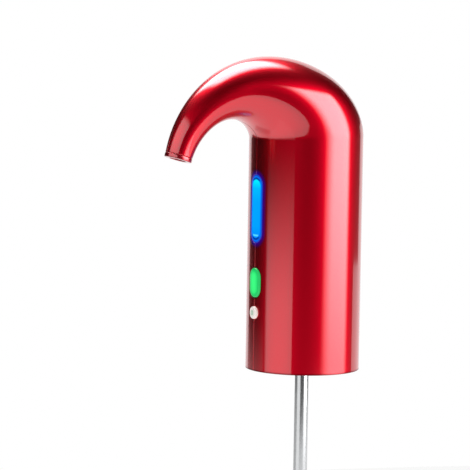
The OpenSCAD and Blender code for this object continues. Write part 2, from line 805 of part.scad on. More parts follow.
// Chips on the back of the board: across, up, width, height, thickness
chips = [[0, 40, 5, 5, 1.2], [4, 50, 7, 7, 1.6], [-6, 56, 4, 6, 2]];
module control_chips() {
    color([0.1, 0.1, 0.11]) {
        for (c = chips)
            translate([board_back_x - c[4], c[0] - c[2] / 2, board_z + c[1] - c[3] / 2])
                cube([c[4], c[2], c[3]]);
        for (s = [-1, 1])
            translate([board_back_x - plug_t, s * plug_y - plug_w / 2, plug_z - plug_h / 2])
                cube([plug_t, plug_w, plug_h]);
    }
}

module board_screws() {
    color([0.6, 0.6, 0.62]) {
        for (y = [-1, 1], z = board_post_z)
            translate([board_face_x + fit_gap, y * board_post_y, z]) rotate([0, 90, 0])
                screw(small_d, small_head_d, board_t + 3.5);
        for (s = [-1, 1])
            translate([charge_post_x, s * charge_post_y, charge_z + board_t + fit_gap])
                screw(small_d, small_head_d, board_t + 3.5);
    }
}

module charge_board() {
    color([0.05, 0.3, 0.16]) difference() {
        translate([charge_post_x - charge_depth / 2, -charge_post_y - 2.2, charge_z])
            cube([charge_depth, 2 * charge_post_y + 4.4, board_t]);
        for (s = [-1, 1])
            translate([charge_post_x, s * charge_post_y, charge_z - bite])
                cylinder(d = small_d + 2 * screw_gap, h = board_t + 2 * bite);
    }
}

module charge_port() {
    color([0.72, 0.73, 0.75]) translate([-inner_r + 0.3, 0, rim_z + port_h + fit_gap])
        rotate([0, 90, 0]) {
            difference() {
                linear_extrude(port_l) port_outline(0);
                translate([0, 0, -bite]) linear_extrude(port_l - 1 + bite) port_outline(-0.35);
            }
            translate([-0.35, -port_w / 2 + 1.4, 1]) cube([0.7, port_w - 2.8, port_l - 1.2]);
        }
}

module battery_cell() {
    color([0.15, 0.4, 0.75]) translate(polar(cell_reach, cell_angle) + [0, 0, cell_z]) {
        cylinder(r = cell_r, h = cell_l - 1.5);
        cylinder(r = cell_r - 0.8, h = cell_l);
        cylinder(r = 3.5, h = cell_l + cell_button_l);
    }
}

tab_w = 7;
module battery_tabs() {
    color([0.78, 0.76, 0.68]) translate(polar(cell_reach, cell_angle) - [tab_w / 2, tab_w / 2, 0]) {
        translate([0, 0, cell_z - tab_t]) cube([tab_w / 2 + cell_r + lead_d, tab_w, tab_t - 0.02]);
        translate([0, 0, cell_top_z + cell_button_l + 0.02]) cube([tab_w, tab_w, tab_t]);
    }
}

// Chassis

lead_hole_d = 2 * lead_d + 3;
module shelf(z, drill_r) {
    translate([0, 0, z]) difference() {
        intersection() {
            cylinder(r = shelf_r, h = frame_t);
            translate([-shelf_r, -shelf_r, 0]) cube([shelf_r + frame_face_x, 2 * shelf_r, frame_t]);
        }
        translate([0, 0, -bite]) cylinder(r = hose_r + 0.8, h = frame_t + 2 * bite);
        translate(polar(pump_reach, pump_angle) - [0, 0, bite]) cylinder(r = drill_r, h = frame_t + 2 * bite);
        translate([frame_face_x - frame_t - lead_hole_d, frame_w / 2 - lead_hole_d, -bite])
            cylinder(d = lead_hole_d, h = frame_t + 2 * bite);
    }
}

strap_z = motor_z + motor_l / 2;
strap_h = 7;
module chassis() {
    strap_r = pump_r + 0.25;
    strap_out_r = strap_r + 1.4;
    pump_at = polar(pump_reach, pump_angle);
    color([0.25, 0.25, 0.27]) difference() {
        union() {
            translate([frame_face_x - frame_t, -frame_w / 2, shelf_z])
                cube([frame_t, frame_w, frame_top_z - shelf_z]);
            shelf(shelf_z, air_id / 2 + air_wall + 0.6);
            shelf(upper_shelf_z, pump_r - 4);
            for (a = chassis_foot_angles)
                translate(polar(chassis_foot_reach, a) + [0, 0, deck_z])
                    cylinder(r = chassis_foot_r, h = shelf_z - deck_z + bite);
            for (y = [-1, 1], z = board_post_z)
                translate([frame_face_x - bite, y * board_post_y, z]) rotate([0, 90, 0])
                    cylinder(d = small_d + 2.6, h = board_back_x - frame_face_x + bite);
            intersection() {
                translate(pump_at + [0, 0, strap_z - strap_h / 2]) cylinder(r = strap_out_r, h = strap_h);
                translate([pump_at[0] - pump_r * 0.5, -inner_r, strap_z - strap_h])
                    cube([inner_r * 2, 2 * inner_r, 2 * strap_h]);
                translate([0, 0, strap_z - strap_h]) cylinder(r = inner_r - 0.4, h = 2 * strap_h);
            }
            translate([pump_at[0] + pump_r - 2, pump_at[1] - 2, strap_z - strap_h / 2])
                cube([frame_face_x - frame_t / 2 - pump_at[0] - pump_r + 2, 4, strap_h]);
        }
        translate(pump_at + [0, 0, strap_z - strap_h]) cylinder(r = strap_r, h = 2 * strap_h);
        translate([0, 0, strap_z - strap_h]) cylinder(r = hose_r + 0.6, h = 2 * strap_h);
        for (a = chassis_foot_angles)
            translate(polar(chassis_foot_reach, a) + [0, 0, deck_z - bite])
                cylinder(d = screw_d + 2 * screw_gap, h = shelf_top_z - deck_z + 2 * bite);
        for (a = chassis_foot_angles)
            translate(polar(chassis_foot_reach, a) + [0, 0, shelf_top_z])
                cylinder(d = screw_head_d + 2 * screw_gap, h = screw_head_d);
        for (y = [-1, 1], z = board_post_z)
            translate([frame_face_x, y * board_post_y, z]) rotate([0, 90, 0])
                cylinder(d = small_d + 2 * screw_gap, h = board_back_x);
        for (s = [-1, 1])
            translate([frame_face_x - frame_t - bite, s * plug_y * 1.25 - plug_w * 0.75, plug_z - plug_h / 2])
                cube([frame_t + 2 * bite, plug_w * 1.5, plug_h]);
    }
}

module chassis_screws() {
    color([0.55, 0.55, 0.57])
        for (a = chassis_foot_angles)
            translate(polar(chassis_foot_reach, a) + [0, 0, shelf_top_z + fit_gap])
                screw(screw_d, screw_head_d, shelf_top_z - deck_z + base_t - 0.4);
}

// Pump

module at_pump(z) {
    translate(polar(pump_reach, pump_angle) + [0, 0, z]) children();
}

module pump_screw_holes(h) {
    for (k = [0:2])
        rotate([0, 0, 60 + 120 * k]) translate([pump_screw_r, 0, -bite])
            cylinder(d = small_d + 2 * screw_gap, h = h + 2 * bite);
}

module pump_pad() {
    color([0.12, 0.12, 0.12]) at_pump(shelf_top_z)
        pipe(pump_screw_r - small_head_d / 2 - 0.3, air_id / 2 + air_wall + 0.6, pad_t - fit_gap);
}

module pump_cover() {
    nipple_l = pump_z - air_end_z;
    color([0.85, 0.85, 0.83]) at_pump(pump_z) difference() {
        union() {
            cylinder(r = pump_r, h = cover_t);
            translate([0, 0, -nipple_l]) cylinder(r = air_stub_r - fit_gap / 2, h = nipple_l + bite);
        }
        translate([0, 0, -nipple_l - bite]) cylinder(r = air_bore_r, h = nipple_l + cover_t + 2 * bite);
        translate([0, 0, cover_t - 2]) cylinder(r = 3.4, h = 2 + bite);
        pump_screw_holes(cover_t);
    }
}

module valve_plate() {
    color([0.7, 0.7, 0.72]) at_pump(valve_z + fit_gap) difference() {
        cylinder(r = pump_r, h = valve_t - fit_gap);
        for (k = [0:cup_n - 1])
            rotate([0, 0, 360 * k / cup_n]) {
                translate([2.4, 0, -bite]) cylinder(r = 0.6, h = valve_t + 2 * bite);
                for (a = [-20, 20])
                    rotate([0, 0, a]) translate([cup_ring_r + 1.2, 0, -bite])
                        cylinder(r = 0.6, h = valve_t + 2 * bite);
            }
        pump_screw_holes(valve_t);
    }
}

cup_wall = 0.7;
stem_r = 0.9;
module diaphragm() {
    color([0.15, 0.15, 0.16]) at_pump(diaphragm_z + fit_gap) difference() {
        union() {
            cylinder(r = pump_r, h = flange_t - fit_gap);
            for (k = [0:cup_n - 1])
                rotate([0, 0, 360 * k / cup_n]) translate([cup_ring_r, 0, 0]) {
                    cylinder(d = cup_d, h = flange_t + cup_l - 0.4);
                    cylinder(r = stem_r, h = flange_t + cup_l + wobble_t + 1);
                }
        }
        for (k = [0:cup_n - 1])
            rotate([0, 0, 360 * k / cup_n]) translate([cup_ring_r, 0, -bite])
                cylinder(d = cup_d - 2 * cup_wall, h = flange_t + cup_l - 1.1 + bite);
        pump_screw_holes(flange_t);
    }
}

module pump_body() {
    h = motor_z - pump_body_z;
    color([0.85, 0.85, 0.83]) at_pump(pump_body_z + fit_gap) difference() {
        cylinder(r = pump_r, h = h - 2 * fit_gap);
        translate([0, 0, -bite]) cylinder(r = pump_cavity_r, h = h - 1.2 + bite);
        cylinder(r = shaft_r + 2.4, h = h + bite);
        pump_screw_holes(8);
    }
}

module pump_screws() {
    color([0.6, 0.6, 0.62])
        for (k = [0:2])
            at_pump(pump_z - fit_gap) rotate([0, 0, 60 + 120 * k]) translate([pump_screw_r, 0, 0])
                rotate([180, 0, 0]) screw(small_d, small_head_d, cover_t + valve_t + flange_t + 5);
}

module wobble_frame() {
    color([0.9, 0.88, 0.8]) at_pump(wobble_z + 0.1) difference() {
        union() {
            for (k = [0:cup_n - 1])
                rotate([0, 0, 360 * k / cup_n]) {
                    translate([0, -1.6, 0]) cube([cup_ring_r, 3.2, wobble_t]);
                    translate([cup_ring_r, 0, 0]) cylinder(r = 2, h = wobble_t);
                }
            cylinder(r = crank_throw + crank_pin_d / 2 + 1.4, h = wobble_t + hub_l - 0.2);
        }
        for (k = [0:cup_n - 1])
            rotate([0, 0, 360 * k / cup_n]) translate([cup_ring_r, 0, -bite])
                cylinder(r = stem_r + fit_gap, h = wobble_t + hub_l + 2 * bite);
        translate([0, 0, wobble_t + hub_l - crank_l - 0.6])
            cylinder(r = crank_throw + crank_pin_d / 2 + 0.3, h = crank_l + 1);
    }
}

module crank_pin() {
    color([0.7, 0.7, 0.72]) at_pump(eccentric_z - crank_l) translate([crank_throw, 0, 0])
        cylinder(d = crank_pin_d, h = crank_l + 2);
}

module eccentric() {
    color([0.8, 0.7, 0.35]) at_pump(eccentric_z) difference() {
        translate([crank_throw / 2, 0, 0]) cylinder(r = crank_throw + 3, h = eccentric_l);
        translate([0, 0, 2.2]) cylinder(r = shaft_r + 0.01, h = eccentric_l);
        translate([crank_throw, 0, -bite]) cylinder(d = crank_pin_d + 0.02, h = 2 + bite + 0.01);
    }
}

module motor_shaft() {
    color([0.75, 0.75, 0.77]) at_pump(eccentric_z + 2.3)
        cylinder(r = shaft_r, h = motor_top_z + cap_t - eccentric_z - 3);
}

module motor_can() {
    color([0.72, 0.72, 0.74]) at_pump(motor_z) difference() {
        cylinder(r = pump_r - 0.1, h = motor_l);
        translate([0, 0, can_wall]) cylinder(r = pump_r - can_wall - 0.1, h = motor_l);
        translate([0, 0, -bite]) cylinder(r = shaft_r + 0.15, h = can_wall + 2 * bite);
    }
}

magnet_z = motor_z + magnet_end;
magnet_l = motor_l - 2 * magnet_end;
module motor_magnets() {
    out_r = pump_r - can_wall - 0.15;
    color([0.3, 0.3, 0.32]) at_pump(magnet_z) difference() {
        pipe(out_r, out_r - magnet_t, magnet_l);
        translate([-magnet_gap / 2, -pump_r, -bite]) cube([magnet_gap, 2 * pump_r, magnet_l + 2 * bite]);
    }
}

module motor_armature() {
    color([0.75, 0.42, 0.2]) at_pump(magnet_z + 1) difference() {
        cylinder(r = armature_r, h = magnet_l - 2);
        for (k = [0:2])
            rotate([0, 0, 120 * k]) translate([armature_r * 0.45, -1, -bite])
                cube([armature_r, 2, magnet_l + 2 * bite]);
        translate([0, 0, -bite]) cylinder(r = shaft_r + 0.01, h = magnet_l + 2 * bite);
    }
}

terminal_y = pump_r * 0.55;
module motor_end_cap() {
    color([0.15, 0.15, 0.16]) at_pump(motor_top_z + fit_gap) difference() {
        union() {
            cylinder(r = pump_r - 0.1, h = cap_t);
            translate([0, 0, -2]) cylinder(r = pump_r - can_wall - 0.2, h = 2 + bite);
        }
        translate([0, 0, -2 - bite]) cylinder(r = shaft_r + 0.1, h = cap_t + 2 + 2 * bite);
        for (s = [-1, 1])
            translate([-1.3, s * terminal_y - 0.4, -2 - bite]) cube([2.6, 0.8, cap_t + 2 + 2 * bite]);
    }
}

module motor_terminals() {
    color([0.8, 0.68, 0.3]) at_pump(motor_top_z - 1.5)
        for (s = [-1, 1])
            translate([-1.2, s * terminal_y - 0.3, 0]) cube([2.4, 0.6, cap_t + 4]);
}

// Hoses, leads and the nozzle

module air_hose() {
    z0 = arm_top_z + fit_gap;
    color([0.85, 0.85, 0.85]) at_pump(z0)
        pipe(air_id / 2 + air_wall, air_id / 2, pump_z - pad_t - 1 - z0);
}

module check_valve() {
    h = air_end_z - air_stub_top_z;
    r = air_stub_r - fit_gap;
    color([0.75, 0.3, 0.25]) at_pump(air_stub_top_z + 0.1) rotate_extrude()
        polygon([[0.35, 0], [0.7, 0], [r, h * 0.55], [r, h - 0.2], [r - 0.5, h - 0.2], [0.35, h * 0.4]]);
}

hose_top_z = frame_top_z + 4;
stub_inner = nozzle_lip + nozzle_sleeve;
stub_end = tip_end - (stub_inner + 0.3) * tip_dir;
stub_start = tip_end - (stub_inner + nozzle_stub) * tip_dir;
hose_rise = 44;
hose_run = 38;
hose_curve = [
    [0, hose_top_z], [0, hose_top_z + hose_rise], stub_start - hose_run * tip_dir, stub_start
];
hose_path = concat(
    [[0, deck_z + core_flange_t + fit_gap], [0, (deck_z + hose_top_z) / 2]],
    [for (k = [0:hose_steps]) bezier(hose_curve, k / hose_steps)],
    [stub_end]
);
module pour_hose() {
    color([0.85, 0.85, 0.85]) sweep_tube(hose_path, hose_r, hose_id / 2 + fit_gap, hose_sides);
}

clip_w = 3;
module hose_clips() {
    color([0.7, 0.7, 0.72]) {
        translate([0, 0, stub_top_z - clip_w - 1]) pipe(hose_r + 0.85, hose_r + 0.05, clip_w);
        at_tip() translate([0, 0, -stub_inner - nozzle_stub / 2 - clip_w / 2])
            pipe(hose_r + 0.85, hose_r + 0.05, clip_w);
    }
}

// Places its children with +Z pointing out of the spout's mouth
module at_tip() {
    translate([tip_end[0], 0, tip_end[1]]) rotate([0, 90 + tip_drop, 0]) children();
}

module spout_nozzle() {
    sleeve_r = tip_r - tip_wall - nozzle_gap;
    stub_tip_r = stub_r - fit_gap;
    mouth_r = nozzle_mouth_d / 2;
    color([0.7, 0.05, 0.1]) at_tip() rotate_extrude() polygon([
        [bore_r, -stub_inner - nozzle_stub], [stub_tip_r, -stub_inner - nozzle_stub],
        [stub_tip_r, -stub_inner], [sleeve_r, -stub_inner], [sleeve_r, -nozzle_lip + 0.02],
        [tip_r, -nozzle_lip + 0.02], [tip_r, -0.3], [tip_r - 0.3, 0], [mouth_r, 0],
        [mouth_r, -nozzle_lip], [bore_r, -stub_inner + 0.5]
    ]);
}

// A lead from one point to another. Its route lists how far along it is, from 0 to 1, and its height
module lead(from, to, route) {
    span = to - from;
    reach = norm([span[0], span[1]]);
    translate([from[0], from[1], 0]) rotate([0, 0, atan2(span[1], span[0])])
        sweep_rod([for (p = route) [p[0] * reach, p[1]]], lead_d / 2, lead_sides);
}

// Room for the square end of a lead that comes in at a slant
lead_end_gap = lead_d * 0.4;
// Height in which a lead turns from lying to standing
lead_bend = lead_d * 6;
// Where a lead enters its socket: s is the side of the board, i the first or second lead
function socket_entry(s, i) =
    [board_back_x - plug_t - lead_end_gap, s * plug_y + (i - 0.5) * (lead_d + 0.8), plug_z];

module battery_leads() {
    cell_at = polar(cell_reach, cell_angle);
    top = cell_top_z + cell_button_l + tab_t / 2;
    low = shelf_top_z + tab_t + lead_d / 2 + fit_gap;
    color([0.75, 0.1, 0.1]) {
        lead(cell_at + [tab_w / 2 + lead_end_gap, 0, top], socket_entry(1, 0), [
            [0, top], [0.2, top], [0.35, top - 0.5], [0.55, top - 5],
            [0.78, plug_z + 1.5], [0.9, plug_z], [1, plug_z]
        ]);
        lead(cell_at + [cell_r + lead_d, 0, low], socket_entry(1, 1), [
            [-0.02, low], [0.04, low + 0.25 * lead_bend], [0.08, low + lead_bend],
            [0.1, low + 2.5 * lead_bend], [0.1, plug_z - 2 * lead_bend],
            [0.14, plug_z - lead_bend], [0.3, plug_z - 0.3 * lead_bend], [0.6, plug_z], [1, plug_z]
        ]);
    }
}

module motor_leads() {
    top = motor_top_z + cap_t + 2.4;
    pump_at = polar(pump_reach, pump_angle);
    color([0.1, 0.1, 0.1])
        for (i = [0, 1])
            lead(pump_at + [1.25 + lead_d / 2, (2 * i - 1) * terminal_y, top], socket_entry(-1, i), [
                [0, top - 1.2], [0, top + 0.6], [0.07, top + 2], [0.2, top + 2.2],
                [0.45, top - 0.5], [0.7, plug_z + 1.6], [0.88, plug_z], [1, plug_z]
            ]);
}

module charge_leads() {
    rise_x = -socket_out_r - charge_socket_gap - lead_d / 2;
    over_z = arm_top_z + lead_d + 1.4;
    color([0.85, 0.2, 0.15])
        for (i = [0, 1])
            translate([0, hose_r + 1.7 + 1.8 * i, 0])
                sweep_rod([
                    [rise_x, charge_z + board_t + fit_gap], [rise_x, deck_z - 10], [rise_x, deck_z],
                    [rise_x + 1.2, over_z - 2.4], [rise_x + 4, over_z - 0.4], [rise_x + 8, over_z],
                    [0, over_z], [board_back_x - 4, over_z], [board_back_x - fit_gap, over_z]
                ], lead_d / 2, lead_sides);
}

left_shell();
right_shell();
base_cover();
base_screws();
spout_nozzle();
window_lens();
light_guide();
window_leds();
button_cap();
tact_switch();
switch_plunger();
status_lens();
status_led();
main_board();
control_chips();
board_screws();
charge_board();
charge_port();
chassis();
chassis_screws();
battery_cell();
battery_tabs();
battery_leads();
motor_leads();
charge_leads();
pump_pad();
pump_cover();
valve_plate();
diaphragm();
pump_body();
pump_screws();
wobble_frame();
eccentric();
crank_pin();
motor_can();
motor_magnets();
motor_armature();
motor_shaft();
motor_end_cap();
motor_terminals();
air_hose();
check_valve();
pour_hose();
hose_clips();
plug_core();
core_screws();
plug_sleeve();
lip_gasket();
upper_tube();
tube_collar();
tube_seal();
lower_tube();
slide_ring();
intake_foot();
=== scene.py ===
import json
import math

import bmesh
import bpy
import numpy as np
from mathutils import Matrix, Vector
from mathutils.geometry import delaunay_2d_cdt


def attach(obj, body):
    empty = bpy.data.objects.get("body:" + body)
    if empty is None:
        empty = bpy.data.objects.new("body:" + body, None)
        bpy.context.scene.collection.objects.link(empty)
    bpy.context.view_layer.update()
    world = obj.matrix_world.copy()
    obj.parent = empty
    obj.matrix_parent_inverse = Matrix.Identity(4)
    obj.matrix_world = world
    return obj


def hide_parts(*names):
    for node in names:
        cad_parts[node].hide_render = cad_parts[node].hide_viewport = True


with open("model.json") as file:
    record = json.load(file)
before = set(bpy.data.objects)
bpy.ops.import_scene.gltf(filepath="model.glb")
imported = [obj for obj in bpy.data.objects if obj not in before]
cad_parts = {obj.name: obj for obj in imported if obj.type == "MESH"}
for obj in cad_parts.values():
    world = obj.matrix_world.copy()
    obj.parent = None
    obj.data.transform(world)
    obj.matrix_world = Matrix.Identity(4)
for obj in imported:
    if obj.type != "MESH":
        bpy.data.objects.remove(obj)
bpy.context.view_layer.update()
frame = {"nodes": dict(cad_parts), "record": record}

# Sizes in millimetres, the same as the solids
MM = 0.001
PER_METRE = 1000
BODY_R = 32.5
WALL = 2.2
INNER_R = BODY_R - WALL
TIP_WALL = 1.6
RIM_Z = -26.0
SEAM = 0.06
EDGE = 0.22
TIP_EDGE = 0.45
WINDOW = dict(w=12.0, l=38.5, z=66.0, gap=0.12)
BUTTON = dict(w=10.5, l=16.5, z=24.2, gap=0.3)
STATUS = dict(w=7.0, l=7.0, z=7.2, gap=0.12)
PORT = dict(w=8.94, t=3.26, z=-14.0, gap=0.3)
BUTTON_OUT = 0.8
STATUS_OUT = 1.5
LEDGE_W = 1.4
LEDGE_T = 1.4
PLUNGER_X = 25.3
STEM_R = 2.2
LIGHT_PIPE_X = 22.3
LIGHT_PIPE_R = 3.5
PEG_SINK = 0.3
BASE_TOP_Z = -23.2
BOSS_R = 3.1
BOSS_REACH = 28.0
BOSS_L = 13.0
BOSS_BORE_R = 1.2
BOSS_BORE_L = 9.0

# Outlines of the gooseneck in the plane of symmetry, as (forward, up)
TIP_R = 7.8
TIP_DROP, TIP_TAPER = 74, 3.5
TIP_END = np.array([83.1, 94.1])
LIP = 2.4
BACK_Z, BACK_RISE = 106.7, 36.5
FRONT_Z, FRONT_RISE = 105.0, 5.3
CROWN_MID, CROWN_RUN = (29.4, 179.8), 44.6
THROAT_MID, THROAT_RUN = (47.8, 126.4), 22.0
NECK_INSET, INSET_END = 0.06, 0.125
NECK_SPREAD, SPREAD_END = 1.4, 0.6
NECK_FULLNESS, FULL_FROM, FULL_TO = 0.16, 0.05, 0.5


def heading(drop):
    """Direction in that plane, by its angle below the horizontal."""
    a = math.radians(drop)
    return np.array([math.cos(a), -math.sin(a)])


TIP_DIR = heading(TIP_DROP)
TIP_SIDE = np.array([-TIP_DIR[1], TIP_DIR[0]])
NECK_END = TIP_END - LIP * TIP_DIR
CROWN_END = NECK_END + TIP_R * TIP_SIDE
THROAT_END = NECK_END - TIP_R * TIP_SIDE
CROWN = [
    (-BODY_R, BACK_Z), (-BODY_R, BACK_Z + BACK_RISE), CROWN_MID,
    CROWN_END - CROWN_RUN * heading(TIP_DROP + TIP_TAPER), CROWN_END,
]
THROAT = [
    (BODY_R, FRONT_Z), (BODY_R, FRONT_Z + FRONT_RISE), THROAT_MID,
    THROAT_END - THROAT_RUN * heading(TIP_DROP - TIP_TAPER), THROAT_END,
]
START_HALF = math.dist(CROWN[0], THROAT[0]) / 2


# Node trees and materials

class Wire:
    """A value in a node tree. Sums written with it add the nodes that work them out."""

    def __init__(self, owner, socket):
        self.owner = owner
        self.socket = socket

    def math(self, operation, *values):
        return self.owner.node("ShaderNodeMath", {"operation": operation}, dict(enumerate(values)))

    def __add__(self, other):
        return self.math("ADD", self, other)

    __radd__ = __add__

    def __sub__(self, other):
        return self.math("SUBTRACT", self, other)

    def __rsub__(self, other):
        return self.math("SUBTRACT", other, self)

    def __mul__(self, other):
        return self.math("MULTIPLY", self, other)

    __rmul__ = __mul__

    def __truediv__(self, other):
        return self.math("DIVIDE", self, other)

    def __abs__(self):
        return self.math("ABSOLUTE", self)

    def at_least(self, other):
        return self.math("MAXIMUM", self, other)

    def root(self):
        return self.math("SQRT", self)

    def fade(self, low, high):
        """0 below low, 1 above high, and a smooth step between."""
        return self.owner.node(
            "ShaderNodeMapRange", {"interpolation_type": "SMOOTHSTEP"},
            {"Value": self, "From Min": low, "From Max": high},
        )


class Tree:
    """A node tree, and the one way to add a node to it."""

    def node(self, kind, settings=None, sockets=None, out=0):
        """Adds a node, sets it up and returns one of its outputs."""
        made = self.tree.nodes.new(kind)
        for key, value in (settings or {}).items():
            if key == "stops":
                self.fill_ramp(made.color_ramp, value)
            else:
                setattr(made, key, value)
        for key, value in (sockets or {}).items():
            self.join(made.inputs[key], value)
        return Wire(self, made.outputs[out])

    def fill_ramp(self, ramp, stops):
        while len(ramp.elements) < len(stops):
            ramp.elements.new(1)
        for element, (place, colour) in zip(ramp.elements, stops):
            element.position = place
            element.color = (*colour, 1)

    def join(self, socket, value):
        """Links a value to a socket, or sets it there."""
        if isinstance(value, Wire):
            self.tree.links.new(value.socket, socket)
        elif socket.type == "RGBA" and len(value) == 3:
            socket.default_value = (*value, 1)
        else:
            socket.default_value = value


class Paint(Tree):
    """One material and its main shader."""

    def __init__(self, name, **looks):
        self.name = name
        self.material = bpy.data.materials.new(name)
        self.material.use_nodes = True
        self.tree = self.material.node_tree
        self.shader = self.tree.nodes["Principled BSDF"]
        for socket, value in looks.items():
            self.set(socket.replace("_", " "), value)

    def set(self, socket, value):
        self.join(self.shader.inputs[socket], value)

    def place(self):
        return self.node("ShaderNodeTexCoord", out="Object")

    def along(self, axis):
        """Place on the piece along one axis, in metres."""
        return self.node("ShaderNodeSeparateXYZ", None, {0: self.place()}, out=axis)

    def axes(self, z=0.0):
        """Left-right and up-down distances in millimetres from a height on the body's front."""
        return self.along(1) * PER_METRE, self.along(2) * PER_METRE - z

    def noise(self, size, detail=3.0, stretch=(1, 1, 1)):
        """Noise with grains of this size in millimetres, drawn out along some axis."""
        spread = self.node(
            "ShaderNodeMapping", None, {"Vector": self.place(), "Scale": [s / (size * MM) for s in stretch]}
        )
        return self.node("ShaderNodeTexNoise", None, {"Vector": spread, "Scale": 1.0, "Detail": detail})

    def blend(self, share, low, high):
        """A colour between two others."""
        return self.node("ShaderNodeMix", {"data_type": "RGBA"}, {0: share, 6: low, 7: high}, out=2)

    def bump(self, height, depth, strength=0.3):
        """Roughens the surface by a height, where 1 stands for a depth in millimetres."""
        self.set("Normal", self.node(
            "ShaderNodeBump", None, {"Strength": strength, "Distance": depth * MM, "Height": height}
        ))

    def tone(self, share, low, high):
        """Colours the surface between two colours."""
        self.set("Base Color", self.blend(share, low, high))

    def shine(self, share, low, high):
        """Gives off light between two colours."""
        self.set("Emission Color", self.blend(share, low, high))
        self.set("Emission Strength", 1.0)

    def cover(self, surface):
        """Puts a shader made from nodes on the surface, and returns the material."""
        self.join(self.tree.nodes["Material Output"].inputs["Surface"], surface)
        return self.material


def slot_edge(paint, w, l, z, **_):
    """Distance in millimetres from the edge of a round-ended slot, below 0 inside it."""
    across, high = paint.axes(z)
    beyond = (abs(high) - (l - w) / 2).at_least(0)
    return (across * across + beyond * beyond).root() - w / 2


def shade(colour, share):
    return tuple(c * share for c in colour)


def moulded(name, colour, rough, grain=0.6, depth=0.02, **looks):
    """Moulded plastic: slight cloudiness, and a fine tooth from the mould."""
    paint = Paint(name, **looks)
    cloud = paint.noise(9, 2)
    tooth = paint.noise(grain)
    paint.tone(cloud, shade(colour, 0.86), shade(colour, 1.1))
    paint.set("Roughness", rough - 0.05 + 0.1 * tooth)
    paint.bump(tooth, depth)
    return paint


def drawn_metal(name, colour, rough, stretch=(1, 1, 1), grain=0.25):
    """Drawn or turned metal, with fine lines along its working direction."""
    paint = Paint(name, Metallic=1.0)
    lines = paint.noise(grain, 4, stretch)
    cloud = paint.noise(6, 2)
    paint.tone(cloud, shade(colour, 0.88), colour)
    paint.set("Roughness", rough - 0.06 + 0.14 * lines)
    paint.bump(lines, 0.006, 0.25)
    return paint


def soft_rubber(name, colour, rough, **looks):
    """Silicone or rubber: matt, with a little bloom."""
    paint = Paint(name, **looks)
    bloom = paint.noise(3.5, 4)
    tooth = paint.noise(0.3)
    paint.tone(bloom, shade(colour, 0.9), shade(colour, 1.06))
    paint.set("Roughness", rough - 0.06 + 0.12 * bloom)
    paint.bump(tooth, 0.01)
    return paint


def red_lacquer():
    """Metallic red under a clear coat, with painted shade at the rim, round the button and along the neck
    seam, and a painted blue-violet halo and glow round the window.
    """
    paint = Paint("red_lacquer", Metallic=1.0, Coat_Roughness=0.06, Coat_IOR=1.8)
    flake = paint.noise(0.12, 2)
    drift = paint.noise(14, 2)
    flaked = paint.blend(flake, (0.64, 0.0004, 0.013), (0.81, 0.0008, 0.020))
    red = paint.blend(drift * 0.2, flaked, (0.57, 0.0003, 0.012))
    across, level = paint.axes()
    front = (paint.along(0) * PER_METRE).fade(20, 26)
    away = slot_edge(paint, **WINDOW)
    # Painted halo round the window: blue-violet painted shade in the colour, and a painted blue glow given
    # off by the lacquer next to the lens
    painted_window_halo = (1 - away.fade(0.0, 4.5)) * front
    painted_window_glow = (1 - away.fade(-0.4, 3.2)) * front
    # Painted shade: darker colour and less clear coat in the gap round the button, along the bottom rim and
    # along the neck seam
    ring = (1 - slot_edge(paint, **BUTTON).fade(0.3, 1.6)) * front
    rim = 1 - level.fade(RIM_Z + 0.3, RIM_Z + 1.4)
    seam = (1 - abs(across).fade(0.12, 0.40)) * level.fade(FRONT_Z - 1, FRONT_Z + 1)
    painted_shade = ring.at_least(rim).at_least(seam) * 0.7
    shaded_red = paint.blend(painted_shade, red, (0.06, 0.0, 0.001))
    paint.tone(painted_window_halo * 0.9, shaded_red, (0.05, 0.0, 0.06))
    paint.set("Coat Weight", 1 - painted_shade * 0.8)
    paint.set("Roughness", 0.35 + 0.06 * flake)
    paint.shine(painted_window_glow, (0, 0, 0), (0.02, 0.0, 0.26))
    return paint


def window_blue():
    """Clear blue lens over a lit guide with round ends."""
    paint = Paint(
        "window_blue", Roughness=0.12, Specular_IOR_Level=0.3, Coat_Weight=0.15, Coat_Roughness=0.03
    )
    _, high = paint.axes(WINDOW["z"])
    rim = slot_edge(paint, **WINDOW)
    guide_l = WINDOW["l"] - 5.0
    guide = slot_edge(paint, WINDOW["w"] - 3.4, guide_l, WINDOW["z"])
    level = high / WINDOW["l"] + 0.5
    glow = paint.node("ShaderNodeValToRGB", {"stops": [
        (0.0, (0.0, 0.22, 1.0)), (0.25, (0.0, 0.36, 1.0)), (0.6, (0.0, 0.37, 1.0)),
        (0.8, (0.0, 0.50, 1.0)), (0.9, (0.0, 0.85, 1.0)), (1.0, (0.0, 0.75, 1.0)),
    ]}, {"Fac": level})
    edge = paint.blend(rim.fade(-1.3, 0.0), (0.0, 0.16, 0.86), (0.01, 0.012, 0.36))
    lit = paint.blend(1 - guide.fade(-0.7, 0.5), edge, glow)
    ends = abs(high).fade(guide_l / 2 - 1.6, guide_l / 2 - 0.4)
    shadow = ends * (1 - abs(guide - 0.35).fade(0.2, 0.9))
    dimmed = paint.blend(shadow * 0.85, lit, (0.0, 0.006, 0.22))
    line = (1 - abs(high + guide_l / 2 - 1.7).fade(0.25, 0.75)) * (1 - guide.fade(-0.9, -0.3))
    paint.shine(line * 0.8, dimmed, (0.12, 0.85, 1.0))
    paint.tone(level, (0.0, 0.02, 0.12), (0.0, 0.05, 0.16))
    return paint


def button_green():
    """Lit green button, paler in the middle and darker round its edge."""
    paint = Paint("button_green", Roughness=0.3, Coat_Weight=0.15, Coat_Roughness=0.1)
    middle = 1 - slot_edge(paint, **BUTTON).fade(-4.2, -0.3)
    tooth = paint.noise(0.5)
    body = paint.blend(middle, (0.0, 0.22, 0.05), (0.01, 0.32, 0.09))
    paint.tone(tooth * 0.15, body, (0.0, 0.18, 0.05))
    paint.shine(middle, (0.01, 0.46, 0.10), (0.04, 0.86, 0.19))
    paint.bump(tooth, 0.01)
    return paint


